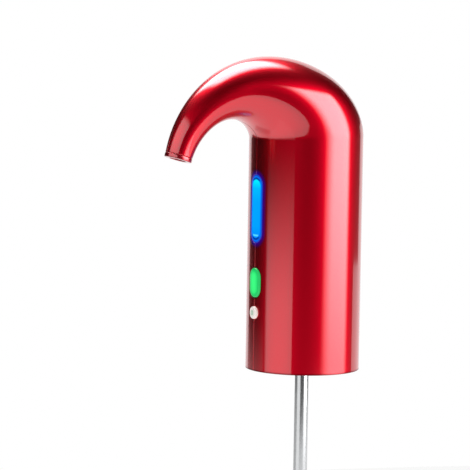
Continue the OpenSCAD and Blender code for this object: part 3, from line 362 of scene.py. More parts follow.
def status_white():
    """Milky light with a pale middle."""
    paint = Paint("status_white", Roughness=0.25, Coat_Weight=0.3, Coat_Roughness=0.05)
    across, high = paint.axes(STATUS["z"])
    far = (across * across + high * high).root()
    middle = 1 - far.fade(1.3, 1.9)
    cloud = paint.noise(1.2)
    body = paint.blend(cloud, (0.80, 0.76, 0.73), (0.90, 0.86, 0.83))
    paint.tone(middle, body, (0.50, 0.60, 0.51))
    paint.shine(middle, (0.42, 0.37, 0.345), (0.22, 0.29, 0.23))
    return paint


def nozzle_red():
    """The same red, plain and glossy, on the moulded nozzle."""
    paint = Paint("nozzle_red", Metallic=0.9, Coat_Weight=1.0, Coat_Roughness=0.06, Coat_IOR=1.8)
    cloud = paint.noise(4, 2)
    tooth = paint.noise(0.3)
    paint.tone(cloud, (0.46, 0.004, 0.016), (0.58, 0.008, 0.024))
    paint.set("Roughness", 0.3 + 0.08 * tooth)
    return paint


def printed_board():
    """Green board with copper runs under the mask."""
    paint = Paint("board_green", Roughness=0.35, Coat_Weight=0.4, Coat_Roughness=0.15)
    runs = paint.noise(1.6, 1, (1, 0.25, 1)).fade(0.48, 0.54)
    paint.tone(runs, (0.01, 0.09, 0.035), (0.02, 0.17, 0.06))
    paint.bump(runs, 0.03)
    return paint


def coiled_copper():
    """Lacquered wire in close turns."""
    paint = Paint("copper", Metallic=1.0, Roughness=0.32)
    across, high = paint.axes()
    wave = high * 16 + across * 2
    turns = wave.math("SINE", wave) * 0.5 + 0.5
    paint.tone(turns, (0.35, 0.11, 0.04), (0.80, 0.32, 0.14))
    paint.bump(turns, 0.1)
    return paint


LONG = (1, 1, 0.02)
paints = [
    red_lacquer(),
    nozzle_red(),
    moulded("dark_plastic", (0.045, 0.008, 0.011), 0.42),
    window_blue(),
    moulded("guide_clear", (0.55, 0.78, 0.92), 0.2, depth=0.01, Coat_Weight=0.5),
    button_green(),
    status_white(),
    moulded("led_chip", (0.82, 0.78, 0.58), 0.35, 0.3),
    printed_board(),
    moulded("black_plastic", (0.028, 0.028, 0.031), 0.46),
    moulded("pale_plastic", (0.70, 0.69, 0.65), 0.45),
    soft_rubber("silicone", (0.60, 0.60, 0.58), 0.5, Subsurface_Weight=0.15, Coat_Weight=0.1),
    soft_rubber("black_rubber", (0.022, 0.022, 0.023), 0.62),
    soft_rubber("red_rubber", (0.34, 0.05, 0.035), 0.55),
    moulded("black_lead", (0.03, 0.03, 0.032), 0.5, 0.4),
    drawn_metal("steel_tube", (0.68, 0.69, 0.70), 0.22, LONG),
    drawn_metal("steel", (0.60, 0.60, 0.61), 0.3),
    moulded("magnet", (0.075, 0.075, 0.082), 0.55, 0.25),
    coiled_copper(),
    drawn_metal("brass", (0.72, 0.55, 0.22), 0.3),
    moulded("cell_wrap", (0.02, 0.13, 0.42), 0.3, 1.5, Coat_Weight=0.4),
    drawn_metal("nickel", (0.66, 0.64, 0.58), 0.28),
]
finishes = {paint.name: paint for paint in paints}

for row in frame["record"]["subparts"]:
    worn = frame["nodes"][row["node"]].data.materials
    worn.clear()
    worn.append(finishes[row["material_slot"]].material)


# Mesh helpers

def linked(name, data):
    """A new object in the scene."""
    obj = bpy.data.objects.new(name, data)
    bpy.context.scene.collection.objects.link(obj)
    return obj


def settled(obj, helper):
    """The mesh that an object's modifiers make. The object and its helper go."""
    ready = obj.evaluated_get(bpy.context.evaluated_depsgraph_get())
    mesh = bpy.data.meshes.new_from_object(ready)
    bpy.data.objects.remove(obj)
    bpy.data.objects.remove(helper)
    return mesh


def raw_mesh(name, points, faces, closed=True):
    """A mesh from points in millimetres. A closed one has its doubled points merged and faces outwards."""
    mesh = bpy.data.meshes.new(name)
    mesh.from_pydata([tuple(float(c) * MM for c in p) for p in points], [], faces)
    if closed:
        work = bmesh.new()
        work.from_mesh(mesh)
        bmesh.ops.remove_doubles(work, verts=work.verts, dist=1e-6)
        bmesh.ops.recalc_face_normals(work, faces=work.faces)
        work.to_mesh(mesh)
        work.free()
    return mesh


def smooth(mesh, sharp=40):
    """Smooth shading, apart from edges sharper than an angle in degrees."""
    mesh.shade_smooth()
    mesh.set_sharp_from_angle(angle=math.radians(sharp))
    return mesh


def plain_mesh(name, points, faces):
    """A closed mesh that is ready to be copied."""
    return smooth(raw_mesh(name, points, faces))


def build(name, points, faces, slot, body, stands_for, sharp=32, normals=None, closed=True):
    """Makes a finished piece from points in millimetres."""
    mesh = raw_mesh(name, points, faces, closed)
    mesh.validate()
    smooth(mesh, sharp)
    if normals is not None:
        mesh.normals_split_custom_set_from_vertices(normals)
    return dress(name, mesh, slot, body, stands_for)


def dress(name, mesh, slot, body, stands_for):
    """Turns a mesh into a piece with its finish, on the body it rides, for the solids it stands for."""
    obj = linked(name, mesh)
    mesh.materials.clear()
    mesh.materials.append(finishes[slot].material)
    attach(obj, body)
    if stands_for:
        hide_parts(*stands_for)
    return obj


def arc(count):
    """Quarter-turn angles of a rounded edge, without its start."""
    return [math.pi / 2 * k / count for k in range(1, count + 1)]


def soften(corners, steps=4):
    """An outline of (radius, height, rounding) corners with each corner rounded."""
    out = []
    count = len(corners)
    for i, (r, h, soft) in enumerate(corners):
        here = np.array([r, h], float)
        if soft <= 0:
            out.append(here)
            continue
        before = np.array(corners[i - 1][:2], float) - here
        after = np.array(corners[(i + 1) % count][:2], float) - here
        a = before / np.linalg.norm(before)
        b = after / np.linalg.norm(after)
        half = math.acos(max(-1, min(1, float(a @ b)))) / 2
        reach = soft / math.tan(half)
        middle = here + (a + b) / np.linalg.norm(a + b) * soft / math.sin(half)
        first = here + a * reach - middle
        last = here + b * reach - middle
        turn = math.pi - 2 * half
        for k in range(steps + 1):
            share = k / steps
            mix = (math.sin((1 - share) * turn) * first + math.sin(share * turn) * last) / math.sin(turn)
            out.append(middle + mix)
    return out


def bands(rows, count, closed=False):
    """Faces between rows of points that lie one after the other, each closed and with the same count."""
    faces = []
    for k in range(rows if closed else rows - 1):
        low = k * count
        high = (k + 1) % rows * count
        for i in range(count):
            j = (i + 1) % count
            faces.append((low + i, low + j, high + j, high + i))
    return faces


def lathe(outline, segments, origin=(0, 0, 0), axis=(0, 0, 1), start=(1, 0, 0)):
    """Turns a closed outline of (radius, height) about an axis."""
    axis = np.array(axis, float)
    side = np.array(start, float)
    other = np.cross(axis, side)
    points = []
    for k in range(segments):
        angle = 2 * math.pi * k / segments
        out = math.cos(angle) * side + math.sin(angle) * other
        for r, h in outline:
            points.append(np.array(origin, float) + r * out + h * axis)
    count = len(outline)
    off_axis = [r >= 1e-6 for r, _ in outline]
    faces = bands(segments, count, closed=True)
    return points, [face for face in faces if off_axis[face[0] % count] or off_axis[face[1] % count]]


def joined(*shapes):
    """Several (points, faces) shapes as one."""
    points = []
    faces = []
    for p, f in shapes:
        base = len(points)
        points.extend(p)
        faces.extend(tuple(i + base for i in face) for face in f)
    return points, faces


def grip_bar(name, width, depth, length, middle, soft, bulge=0.45, steps=5, turns=8):
    """An upright bar with a rounded outer face and ends. Its back is on the axis, its middle at a height."""
    top = [(length / 2 - soft + soft * math.sin(a), soft * (1 - math.cos(a))) for a in [0] + arc(steps)]
    levels = [(-h, inset) for h, inset in reversed(top)] + top
    points = []
    for h, inset in levels:
        half = width / 2 - inset
        points.append((0, -half, h + middle))
        for k in range(turns + 1):
            a = -math.pi / 2 + math.pi * k / turns
            points.append((depth - inset - bulge * (1 - math.cos(a)), half * math.sin(a), h + middle))
        points.append((0, half, h + middle))
    count = turns + 3
    last = (len(levels) - 1) * count
    faces = [tuple(range(count)), tuple(range(last, last + count))] + bands(len(levels), count)
    return plain_mesh(name, points, faces)


def cross_screw(name, d=2.2, head_d=4.2, head_t=1.68, length=8.0, seat=-24.35):
    """A pan-head screw with its head down: a domed head with a cross recess, and a threaded shank."""
    pitch = 0.7
    thread_depth = 0.28
    r = d / 2
    head_r = head_d / 2
    low_z = seat - head_t
    outline = [(0, seat + length)]
    for k in range(int(length / pitch)):
        low = seat + length - (k + 1) * pitch
        outline += [(r, low + pitch * 0.9), (r, low + pitch * 0.6), (r - thread_depth, low + pitch * 0.3)]
    outline.append((r, seat))
    outline += soften([(head_r, seat, 0.12), (head_r, low_z, 0.6), (0, low_z, 0)])
    mesh = plain_mesh(name, *lathe(outline, 48))
    cutter = bmesh.new()
    narrow, wide = head_d * 0.12, head_d * 0.6
    for w, l in ((narrow, wide), (wide, narrow)):
        size = Matrix.Diagonal((w * MM, l * MM, head_t * MM, 1))
        bmesh.ops.create_cube(cutter, size=1, matrix=Matrix.Translation((0, 0, low_z * MM)) @ size)
    cross = bpy.data.meshes.new(name + "_cross")
    cutter.to_mesh(cross)
    cutter.free()
    return cut_out(mesh, cross)


def cut_out(mesh, cutter):
    """Takes one closed mesh out of another."""
    body = linked("body_shape", mesh)
    tool = linked("tool_shape", cutter)
    modifier = body.modifiers.new("recess", "BOOLEAN")
    modifier.operation = "DIFFERENCE"
    modifier.object = tool
    modifier.solver = "EXACT"
    modifier.use_self = True
    return smooth(settled(body, tool))


# Red half shells

EDGE_STEP, RIM_POINTS = 2.4, 60
FIRST_U, FIRST_Z = 1.6, 1.5
GRID_U, GRID_Z, GRID_CLEAR = 1.9, 2.6, 0.8


def curve_at(corners, t):
    """Point of the smooth curve drawn by some corners, at a share of its run."""
    spots = [np.array(c, float) for c in corners]
    while len(spots) > 1:
        spots = [a + (b - a) * t for a, b in zip(spots[:-1], spots[1:])]
    return spots[0]


def neck_ring(t):
    """Centre, half width in the symmetry plane and across it, direction to the crown, and fullness there."""
    crown = curve_at(CROWN, t)
    throat = curve_at(THROAT, t)
    half = np.linalg.norm(crown - throat) / 2
    spread = NECK_SPREAD * math.sin(math.pi * min(1, t / SPREAD_END)) ** 2
    across = half - (START_HALF - BODY_R) * (1 - t) ** 2 + spread
    share = min(1, max(0, (t - FULL_FROM) / (FULL_TO - FULL_FROM)))
    fullness = NECK_FULLNESS * share * share * (3 - 2 * share) * (1 - t)
    inset = NECK_INSET * min(1, t / INSET_END)
    return (crown + throat) / 2, half - inset, across - inset, (crown - throat) / (2 * half), fullness


def ring_points(ring, angles, depths):
    """Points of a ring at some angles from its crown, each at some depth below the skin."""
    centre, half, across, to_crown, fullness = ring
    reach = (half - depths) * np.cos(angles)
    side = (across - depths) * np.sin(angles) * (1 + fullness * np.cos(angles))
    return np.stack([centre[0] + reach * to_crown[0], side, centre[1] + reach * to_crown[1]], 1)


def ring_normals(t, angles):
    """Outward directions of the gooseneck's skin on one ring."""
    step = 1e-3
    skin = np.zeros_like(angles)
    ring = neck_ring(t)
    ahead = ring_points(neck_ring(min(t + step, 1)), angles, skin)
    behind = ring_points(neck_ring(max(t - step, 0)), angles, skin)
    around = ring_points(ring, angles + step, skin) - ring_points(ring, angles - step, skin)
    normal = np.cross(ahead - behind, around)
    normal /= np.linalg.norm(normal, axis=1)[:, None]
    out = ring_points(ring, angles, skin) - [ring[0][0], 0, ring[0][1]]
    return normal * np.sign((normal * out).sum(1))[:, None]


def notch(slot, edge_u, steps=14):
    """Edge of half a round-ended opening on the front parting line, from its top down, as (round, up)."""
    r = slot["w"] / 2 + slot["gap"] + EDGE
    straight = (slot["l"] - slot["w"]) / 2
    first = math.asin(edge_u / r)
    turns = [first + (math.pi / 2 - first) * k / steps for k in range(steps + 1)]
    run = [(r * math.sin(a), slot["z"] + straight + r * math.cos(a)) for a in turns]
    count = max(1, int(2 * straight / EDGE_STEP))
    for k in range(1, count):
        run.append((r, slot["z"] + straight - 2 * straight * k / count))
    run += [(r * math.sin(a), slot["z"] - straight - r * math.cos(a)) for a in reversed(turns)]
    tidy = []
    for y, z in run:
        spot = (BODY_R * math.asin(y / BODY_R), z)
        if not tidy or math.dist(spot, tidy[-1]) > 1e-4:
            tidy.append(spot)
    return tidy


def port_notch(far_u, edge_u, steps=10):
    """Edge of half the port's opening on the back parting line, from its bottom up."""
    r = PORT["t"] / 2 + PORT["gap"] + EDGE
    reach = (PORT["w"] - PORT["t"]) / 2
    run = [(edge_u, PORT["z"] - r)]
    for k in range(steps + 1):
        a = -math.pi / 2 + math.pi * k / steps
        run.append((reach + r * math.cos(a), PORT["z"] + r * math.sin(a)))
    run.append((edge_u, PORT["z"] + r))
    return [(far_u - BODY_R * math.asin(y / BODY_R), z) for y, z in run]


def run_down(u, high, low):
    """Even steps along an upright edge, from one height to another."""
    count = max(1, int(abs(high - low) / EDGE_STEP))
    return [(u, high + (low - high) * k / count) for k in range(count + 1)]


def open_edge(top, edge_u, edge_arc, far_u, rim):
    """The open edge, from the top of the front parting line round the rim to the top of the back one."""
    chain = []
    level = top[0][1]
    for slot in (WINDOW, BUTTON, STATUS):
        cut = notch(slot, edge_u)
        chain += run_down(edge_arc, level, cut[0][1])[:-1] + cut[:-1]
        level = cut[-1][1]
    chain += run_down(edge_arc, level, rim)
    chain += [(u, rim) for u in np.linspace(edge_arc, far_u - edge_arc, RIM_POINTS)[1:-1]]
    port = port_notch(far_u, edge_u)
    chain += run_down(far_u - edge_arc, rim, port[0][1])[:-1] + port[:-1]
    return chain + run_down(far_u - edge_arc, port[-1][1], top[-1][1])


def spots_within(loop, first_u, first_z):
    """Even points inside a loop, clear of its edge."""
    starts = np.array(loop)
    ends = np.roll(starts, -1, 0)
    span = ends - starts
    far_u, far_z = starts.max(0)
    inside = []
    for u in np.arange(first_u, far_u, GRID_U):
        for z in np.arange(first_z, far_z, GRID_Z):
            cross = (starts[:, 1] > z) != (ends[:, 1] > z)
            s, e = starts[cross], ends[cross]
            hits = (s[:, 0] + (z - s[:, 1]) / (e[:, 1] - s[:, 1]) * (e[:, 0] - s[:, 0])) > u
            share = ((np.array([u, z]) - starts) * span).sum(1) / (span * span).sum(1)
            near = starts + np.clip(share, 0, 1)[:, None] * span
            if hits.sum() % 2 and np.linalg.norm(near - [u, z], axis=1).min() > GRID_CLEAR:
                inside.append((u, z))
    return inside


def screw_posts():
    """Two posts for the base screws, inside one half of the skirt."""
    post = soften([
        (0, BOSS_BORE_L, 0), (BOSS_BORE_R, BOSS_BORE_L, 0), (BOSS_BORE_R, 0, 0),
        (BOSS_R, 0, 0.3), (BOSS_R, BOSS_L, 0.3), (0, BOSS_L, 0),
    ])
    turns = [math.radians(degrees) for degrees in (45, 135)]
    spots = [(BOSS_REACH * math.cos(a), BOSS_REACH * math.sin(a), BASE_TOP_Z) for a in turns]
    return joined(*(lathe(post, 32, spot) for spot in spots))


def half_skin(side, arc_count=90, neck_rows=150, round_steps=4):
    """Outer and inner wall of one half of the body and gooseneck, with its openings and rounded edges."""
    far_u = math.pi * BODY_R
    edge_u = SEAM + EDGE
    edge_angle = math.asin(edge_u / BODY_R)
    edge_arc = edge_angle * BODY_R
    first = neck_ring(0)
    top_angles = np.linspace(math.pi - edge_angle, edge_angle, arc_count)
    top = [((math.pi - a) * BODY_R, first[0][1] + first[1] * math.cos(a) * first[3][1]) for a in top_angles]
    rim = RIM_Z + EDGE

    # Triangles between the open edge, the top edge and the points inside them
    chain = open_edge(top, edge_u, edge_arc, far_u, rim)
    loop = chain + top[-2:0:-1]
    inside = spots_within(loop, edge_arc + FIRST_U, rim + FIRST_Z)
    flat = [Vector((float(u), float(z))) for u, z in loop + inside]
    ring_edges = [(i, (i + 1) % len(loop)) for i in range(len(loop))]
    verts, _, tris, source, _, _ = delaunay_2d_cdt(flat, ring_edges, [], 1, 1e-5)
    index = {old: new for new, olds in enumerate(source) for old in olds}

    points = []
    normals = []

    def wall_point(u, z, depth):
        """Adds a point of the round wall, at some depth below the skin."""
        angle = u / BODY_R
        r = BODY_R - depth
        points.append(np.array([r * math.cos(angle), r * math.sin(angle), z]))
        return len(points) - 1

    faces = []
    for v in verts:
        wall_point(v.x, v.y, 0)
        normals.append((math.cos(v.x / BODY_R), math.sin(v.x / BODY_R), 0))
    inner = [wall_point(v.x, v.y, WALL) for v in verts]
    for a, b, c in tris:
        turn = (verts[b] - verts[a]).cross(verts[c] - verts[a])
        a, b, c = (a, b, c) if turn > 0 else (a, c, b)
        faces.append((a, b, c))
        faces.append((inner[a], inner[c], inner[b]))

    # Rounded strip along the open edge, and the wall behind it
    chain_at = np.array(chain)
    travel = np.diff(chain_at, axis=0)
    travel /= np.linalg.norm(travel, axis=1)[:, None]
    out = np.stack([travel[:, 1], -travel[:, 0]], 1)
    before = np.vstack([out[:1], out])
    after = np.vstack([out, out[-1:]])
    lean = (before + after) / (1 + (before * after).sum(1))[:, None]
    rows = [[index[i] for i in range(len(chain))]]
    for angle in arc(round_steps):
        moved = chain_at + lean * EDGE * math.sin(angle)
        rows.append([wall_point(u, z, EDGE * (1 - math.cos(angle))) for u, z in moved])
    moved = chain_at + lean * EDGE
    rows.append([wall_point(u, z, WALL) for u, z in moved])
    rows.append([inner[index[i]] for i in range(len(chain))])
    for low, high in zip(rows[:-1], rows[1:]):
        for i in range(len(chain) - 1):
            faces.append((low[i], high[i], high[i + 1], low[i + 1]))

    # The gooseneck grows on from the top edge of that wall
    top_ids = [index[0]] + [index[len(loop) - k] for k in range(1, arc_count - 1)] + [index[len(chain) - 1]]
    strip = rows[1:-1]
    ring_ids = (
        top_ids + [row[-1] for row in strip] + [inner[i] for i in reversed(top_ids)]
        + [row[0] for row in reversed(strip)]
    )
    normals += [(0, 0, 0)] * (len(points) - len(normals))

    def next_ring(t, shift, deep):
        """Adds one closed ring of the gooseneck's wall, moved along the tip and sunk below the skin."""
        ring = neck_ring(t)
        ring = (ring[0] + shift * TIP_DIR, *ring[1:])
        wall = WALL + (TIP_WALL - WALL) * t

        def seam_angle(y, depth, end):
            """Where a wall at some depth is y from the parting plane, at the crown (1) or the throat (-1)."""
            return math.asin(y / (ring[2] - depth) / (1 + end * ring[4]))

        spread = np.linspace(math.pi - seam_angle(edge_u, 0, -1), seam_angle(edge_u, 0, 1), arc_count)
        made = [(a, deep, True) for a in spread]
        seam = [(edge_u - EDGE * math.sin(a), EDGE * (1 - math.cos(a)) + deep) for a in arc(round_steps)]
        seam.append((SEAM, wall))
        made += [(seam_angle(y, d, 1), d, False) for y, d in seam]
        made += [(a, wall, False) for a in reversed(spread)]
        made += [(math.pi - seam_angle(y, d, -1), d, False) for y, d in reversed(seam)]
        base = len(points)
        angles = np.array([a for a, _, _ in made])
        points.extend(ring_points(ring, angles, np.array([d for _, d, _ in made])))
        lies = ring_normals(t, angles)
        for lie, (_, _, shown) in zip(lies, made):
            normals.append(tuple(lie) if shown and deep == 0 else (0, 0, 0))
        return list(range(base, len(points)))

    steps = [(t, 0.0, 0.0) for t in np.linspace(0, 1, neck_rows)[1:-1]]
    steps.append((1.0, -TIP_EDGE, 0.0))
    steps += [(1.0, -TIP_EDGE * (1 - math.sin(a)), TIP_EDGE * (1 - math.cos(a))) for a in arc(round_steps)]
    for step in steps:
        higher = next_ring(*step)
        count = len(higher)
        for i in range(count):
            j = (i + 1) % count
            faces.append((ring_ids[i], ring_ids[j], higher[j], higher[i]))
        ring_ids = higher
    seam_count = round_steps + 1
    inner_start = arc_count + seam_count
    for i in range(arc_count - 1):
        back = inner_start + arc_count - 1 - i
        faces.append((ring_ids[i], ring_ids[i + 1], ring_ids[back - 1], ring_ids[back]))
    faces.append(tuple(ring_ids[arc_count - 1:inner_start + 1]))
    faces.append(tuple(ring_ids[inner_start + arc_count - 1:] + ring_ids[:1]))

    shape, skin = screw_posts()
    base = len(points)
    points.extend(shape)
    normals.extend([(0, 0, 0)] * len(shape))
    faces.extend(tuple(i + base for i in reversed(face)) for face in skin)
    if side < 0:
        points = [p * np.array([1, -1, 1]) for p in points]
        normals = [(x, -y, z) for x, y, z in normals]
        faces = [tuple(reversed(f)) for f in faces]
    return points, faces, normals


for side, name in ((1, "left"), (-1, "right")):
    points, faces, normals = half_skin(side)
    build(name + "_skin", points, faces, "red_lacquer", "body", [name + "_shell"], 40, normals, closed=False)


# Pieces let into the front wall

def slot_loop(w, l, inset, radius, z, turn=18, run=14):
    """Points of a round-ended loop on a drum of some radius, shrunk by an inset."""
    r = w / 2 - inset
    straight = (l - w) / 2
    flat = []
    for end in (1, -1):
        for k in range(turn + 1):
            a = math.pi * k / turn
            flat.append((end * r * math.cos(a), end * (straight + r * math.sin(a))))
        if straight > 0:
            for k in range(1, run):
                flat.append((-end * r, end * straight * (1 - 2 * k / run)))
    return [np.array([math.sqrt(radius ** 2 - y ** 2), y, z + up]) for y, up in flat]


def slot_piece(slot, steps):
    """A round-ended piece from loops, given as (inset, drum radius) from its back to its middle front."""
    loops = [slot_loop(slot["w"], slot["l"], inset, radius, slot["z"]) for inset, radius in steps]
    points = [p for loop in loops for p in loop]
    return points, bands(len(loops), len(loops[0]))


def face_steps(slot, out_r, ledge_r, soft, dome):
    """Loops of a piece with a holding ledge behind the wall, a rounded edge and a domed face."""
    half = slot["w"] / 2
    back_r = ledge_r - LEDGE_T
    edge_r = out_r - dome - soft
    steps = [(half, back_r), (half / 2, back_r), (-LEDGE_W, back_r), (-LEDGE_W, ledge_r)]
    steps += [(0, ledge_r), (0, edge_r)]
    steps += [(soft * (1 - math.cos(a)), edge_r + soft * math.sin(a)) for a in arc(5)]
    for k in range(1, 9):
        share = k / 8
        inset = soft + (half - soft) * share
        steps.append((inset, out_r - dome * (1 - share) ** 2))
    return steps


def peg(r, x, first, last, z, segments):
    """A round peg along +X from a spot on the symmetry plane, rounded at its near end."""
    outline = soften([(0, first, 0), (r, first, 0.2), (r, last, 0), (0, last, 0)])
    return lathe(outline, segments, (x, 0, z), (1, 0, 0), (0, 1, 0))


lens_r = INNER_R - WINDOW["gap"]
pane = slot_piece(WINDOW, face_steps(WINDOW, BODY_R, lens_r, 0.45, 0.05))
build("window_pane", *pane, "window_blue", "body", ["window_lens"])

button_r = INNER_R - BUTTON["gap"]
cap = slot_piece(BUTTON, face_steps(BUTTON, BODY_R + BUTTON_OUT, button_r, 0.6, 0.2))
stem = peg(STEM_R, PLUNGER_X, 0.05, button_r - LEDGE_T - PLUNGER_X + PEG_SINK, BUTTON["z"], 40)
build("green_button", *joined(cap, stem), "button_green", "button", ["button_cap"])

status_face = slot_piece(STATUS, face_steps(STATUS, BODY_R + STATUS_OUT, lens_r, 0.7, 0.25))
pipe = peg(LIGHT_PIPE_R, LIGHT_PIPE_X, 0, lens_r - LEDGE_T - LIGHT_PIPE_X + PEG_SINK, STATUS["z"], 48)
build("status_light", *joined(status_face, pipe), "status_white", "body", ["status_lens"])


# Nozzle at the tip

BORE_R = 2.0
MOUTH_R = 4.75
STUB_R, STUB_L = 2.95, 6
NOZZLE_R, NOZZLE_L = TIP_R - TIP_WALL - 0.6, 6
RING_Z = -LIP + 0.02
NOZZLE_Z = -LIP - NOZZLE_L
STUB_Z = NOZZLE_Z - STUB_L
nozzle = soften([
    (BORE_R, STUB_Z, 0), (STUB_R, STUB_Z, 0.2), (STUB_R, NOZZLE_Z, 0), (NOZZLE_R, NOZZLE_Z, 0.3),
    (NOZZLE_R, RING_Z, 0), (TIP_R, RING_Z, 0.4), (TIP_R, 0, 0.4), (MOUTH_R, 0, 0.3), (MOUTH_R, -LIP, 0),
    (BORE_R, NOZZLE_Z + 0.5, 0),
])
mouth = lathe(nozzle, 128, (TIP_END[0], 0, TIP_END[1]), (TIP_DIR[0], 0, TIP_DIR[1]), (0, 1, 0))
build("spout_mouth", *mouth, "nozzle_red", "body", ["spout_nozzle"])


# Repeats, by Geometry Nodes

class Pattern(Tree):
    """A Geometry Nodes tree that copies a shape by a count and some named measures."""

    def __init__(self, name, *measures):
        self.tree = bpy.data.node_groups.new(name, "GeometryNodeTree")
        self.tree.interface.new_socket("Geometry", in_out="OUTPUT", socket_type="NodeSocketGeometry")
        kinds = {"Shape": "Object", "Material": "Material", "Count": "Int"} | dict.fromkeys(measures, "Float")
        for label, kind in kinds.items():
            self.tree.interface.new_socket(label, in_out="INPUT", socket_type="NodeSocket" + kind)
        self.given = self.tree.nodes.new("NodeGroupInput")
        self.result = self.tree.nodes.new("NodeGroupOutput")

    def ask(self, label):
        return Wire(self, self.given.outputs[label])

    def copies(self, spots):
        """A copy of the shape on each spot."""
        shape = self.node("GeometryNodeObjectInfo", None, {"Object": self.ask("Shape")}, out="Geometry")
        return self.node("GeometryNodeInstanceOnPoints", None, {"Points": spots, "Instance": shape})

    def finish(self, copies):
        """Makes the copies real, with their material, as the tree's result."""
        whole = self.node("GeometryNodeRealizeInstances", None, {0: copies})
        painted = self.node("GeometryNodeSetMaterial", None, {0: whole, "Material": self.ask("Material")})
        self.join(self.result.inputs[0], painted)

    def make(self, name, slot, body, stands_for, shape, **values):
        """Sets the inputs, turns the result into a plain mesh and dresses it."""
        template = linked(name + "_shape", shape)
        obj = linked(name, bpy.data.meshes.new(name))
        values |= {"Shape": template, "Material": finishes[slot].material}
        modifier = obj.modifiers.new("copies", "NODES")
        modifier.node_group = self.tree
        for socket in self.tree.interface.items_tree:
            if socket.in_out == "INPUT":
                modifier[socket.identifier] = values[socket.name]
        return dress(name, settled(obj, template), slot, body, stands_for)


def ring_pattern():
    """Copies turned evenly round the upright axis, moved out by a radius."""
    pattern = Pattern("ring_of_copies", "Radius", "Start")
    spots = pattern.node("GeometryNodeMeshLine", None, {"Count": pattern.ask("Count"), "Offset": (0, 0, 0)})
    copies = pattern.copies(spots)
    index = pattern.node("GeometryNodeInputIndex")
    step = index.math("DIVIDE", 2 * math.pi, pattern.ask("Count"))
    angle = index.math("MULTIPLY_ADD", index, step, pattern.ask("Start"))
    turn = pattern.node("ShaderNodeCombineXYZ", None, {"Z": angle})
    turned = pattern.node("GeometryNodeRotateInstances", None, {"Instances": copies, "Rotation": turn})
    out = pattern.node("ShaderNodeCombineXYZ", None, {"X": pattern.ask("Radius")})
    moved = pattern.node("GeometryNodeTranslateInstances", None, {"Instances": turned, "Translation": out})
    pattern.finish(moved)
    return pattern


def row_pattern():
    """Copies stacked downwards at an even pitch."""
    pattern = Pattern("row_of_copies", "Pitch", "Top")
    step = pattern.node("ShaderNodeCombineXYZ", None, {"Z": pattern.ask("Pitch") * -1.0})
    first = pattern.node("ShaderNodeCombineXYZ", None, {"Z": pattern.ask("Top")})
    spots = pattern.node("GeometryNodeMeshLine", None, {
        "Count": pattern.ask("Count"), "Start Location": first, "Offset": step,
    })
    pattern.finish(pattern.copies(spots))
    return pattern


ring_of = ring_pattern()
row_of = row_pattern()


# Plug, tubes and fasteners below the body

PLUG_R = 9.25
RIB_DEPTH = 0.8
RIB_W = 2.4
GROOVE_W = 1.8
RIB_N = 4
PLUG_L = 21.0
CORE_R = 7.55
SLEEVE_R = PLUG_R - RIB_DEPTH
SLEEVE_TOP = 1.45
SLEEVE_END = -PLUG_L + 0.5
LAST_RIB = -RIB_N * RIB_W - (RIB_N - 1) * GROOVE_W
sleeve = soften([
    (CORE_R, SLEEVE_TOP, 0), (PLUG_R, SLEEVE_TOP, 0.3), (PLUG_R, -0.4, 0.5), (SLEEVE_R, -1.0, 0.3),
    (SLEEVE_R, LAST_RIB, 0.3), (SLEEVE_R - 0.4, SLEEVE_END, 0.5), (CORE_R, SLEEVE_END, 0),
])
build("plug_skin", *lathe(sleeve, 112), "silicone", "body", ["plug_sleeve"], 40)
rib = soften([
    (SLEEVE_R - 0.2, 0.05, 0), (SLEEVE_R + 0.05, 0, 0), (PLUG_R, -0.5, 0.35), (PLUG_R, -RIB_W, 0.5),
    (SLEEVE_R + 0.05, -RIB_W, 0), (SLEEVE_R - 0.2, -RIB_W + 0.05, 0),
])
row_of.make(
    "plug_ribs", "silicone", "body", [], plain_mesh("plug_rib", *lathe(rib, 112)),
    Count=RIB_N, Pitch=(RIB_W + GROOVE_W) * MM, Top=0.0,
)


def ring_wall(inner, outer, low, high, soft, segments):
    """A plain ring or tube between two radii and two heights, with rounded edges."""
    corners = [(inner, low, soft), (outer, low, soft), (outer, high, soft), (inner, high, soft)]
    return lathe(soften(corners), segments)


GASKET_IN_R, GASKET_OUT_R = 9.9, 15.2
gasket = ring_wall(GASKET_IN_R, GASKET_OUT_R, 0, SLEEVE_TOP, 0.35, 112)
build("lip_ring", *gasket, "silicone", "body", ["lip_gasket"], 40)

UPPER_R = 4.0
UPPER_LOW, UPPER_HIGH = -130.0, -9.05
LOWER_R = 3.3
LOWER_LOW, LOWER_HIGH = -138.5, -25.0
TUBE_WALL = 0.4
upper = ring_wall(UPPER_R - TUBE_WALL, UPPER_R, UPPER_LOW, UPPER_HIGH, 0.15, 80)
lower = ring_wall(LOWER_R - TUBE_WALL, LOWER_R, LOWER_LOW, LOWER_HIGH, 0.15, 80)
build("outer_tube", *upper, "steel_tube", "body", ["upper_tube"], 40)
build("inner_tube", *lower, "steel_tube", "intake", ["lower_tube"], 40)

COLLAR_LOW, COLLAR_HIGH = -133.0, -126.0
COLLAR_R = 5.2
COLLAR_WAIST_R = COLLAR_R - 0.45
COLLAR_BORE_R = UPPER_R + 0.03
SLIDE_R = LOWER_R + 0.1
SEAL_R = 3.95
SEAL_LOW, SEAL_HIGH = -131.55, -130.05
collar = soften([
    (COLLAR_BORE_R, COLLAR_HIGH, 0), (COLLAR_WAIST_R, COLLAR_HIGH, 0.3),
    (COLLAR_WAIST_R, COLLAR_LOW + 1.5, 0.1), (COLLAR_R, COLLAR_LOW + 1.3, 0.15), (COLLAR_R, COLLAR_LOW, 0.5),
    (SLIDE_R, COLLAR_LOW, 0.2), (SLIDE_R, SEAL_LOW, 0), (SEAL_R, SEAL_LOW, 0), (SEAL_R, SEAL_HIGH, 0),
    (COLLAR_BORE_R, SEAL_HIGH, 0),
])
build("slide_collar", *lathe(collar, 96), "black_plastic", "body", ["tube_collar"], 40)

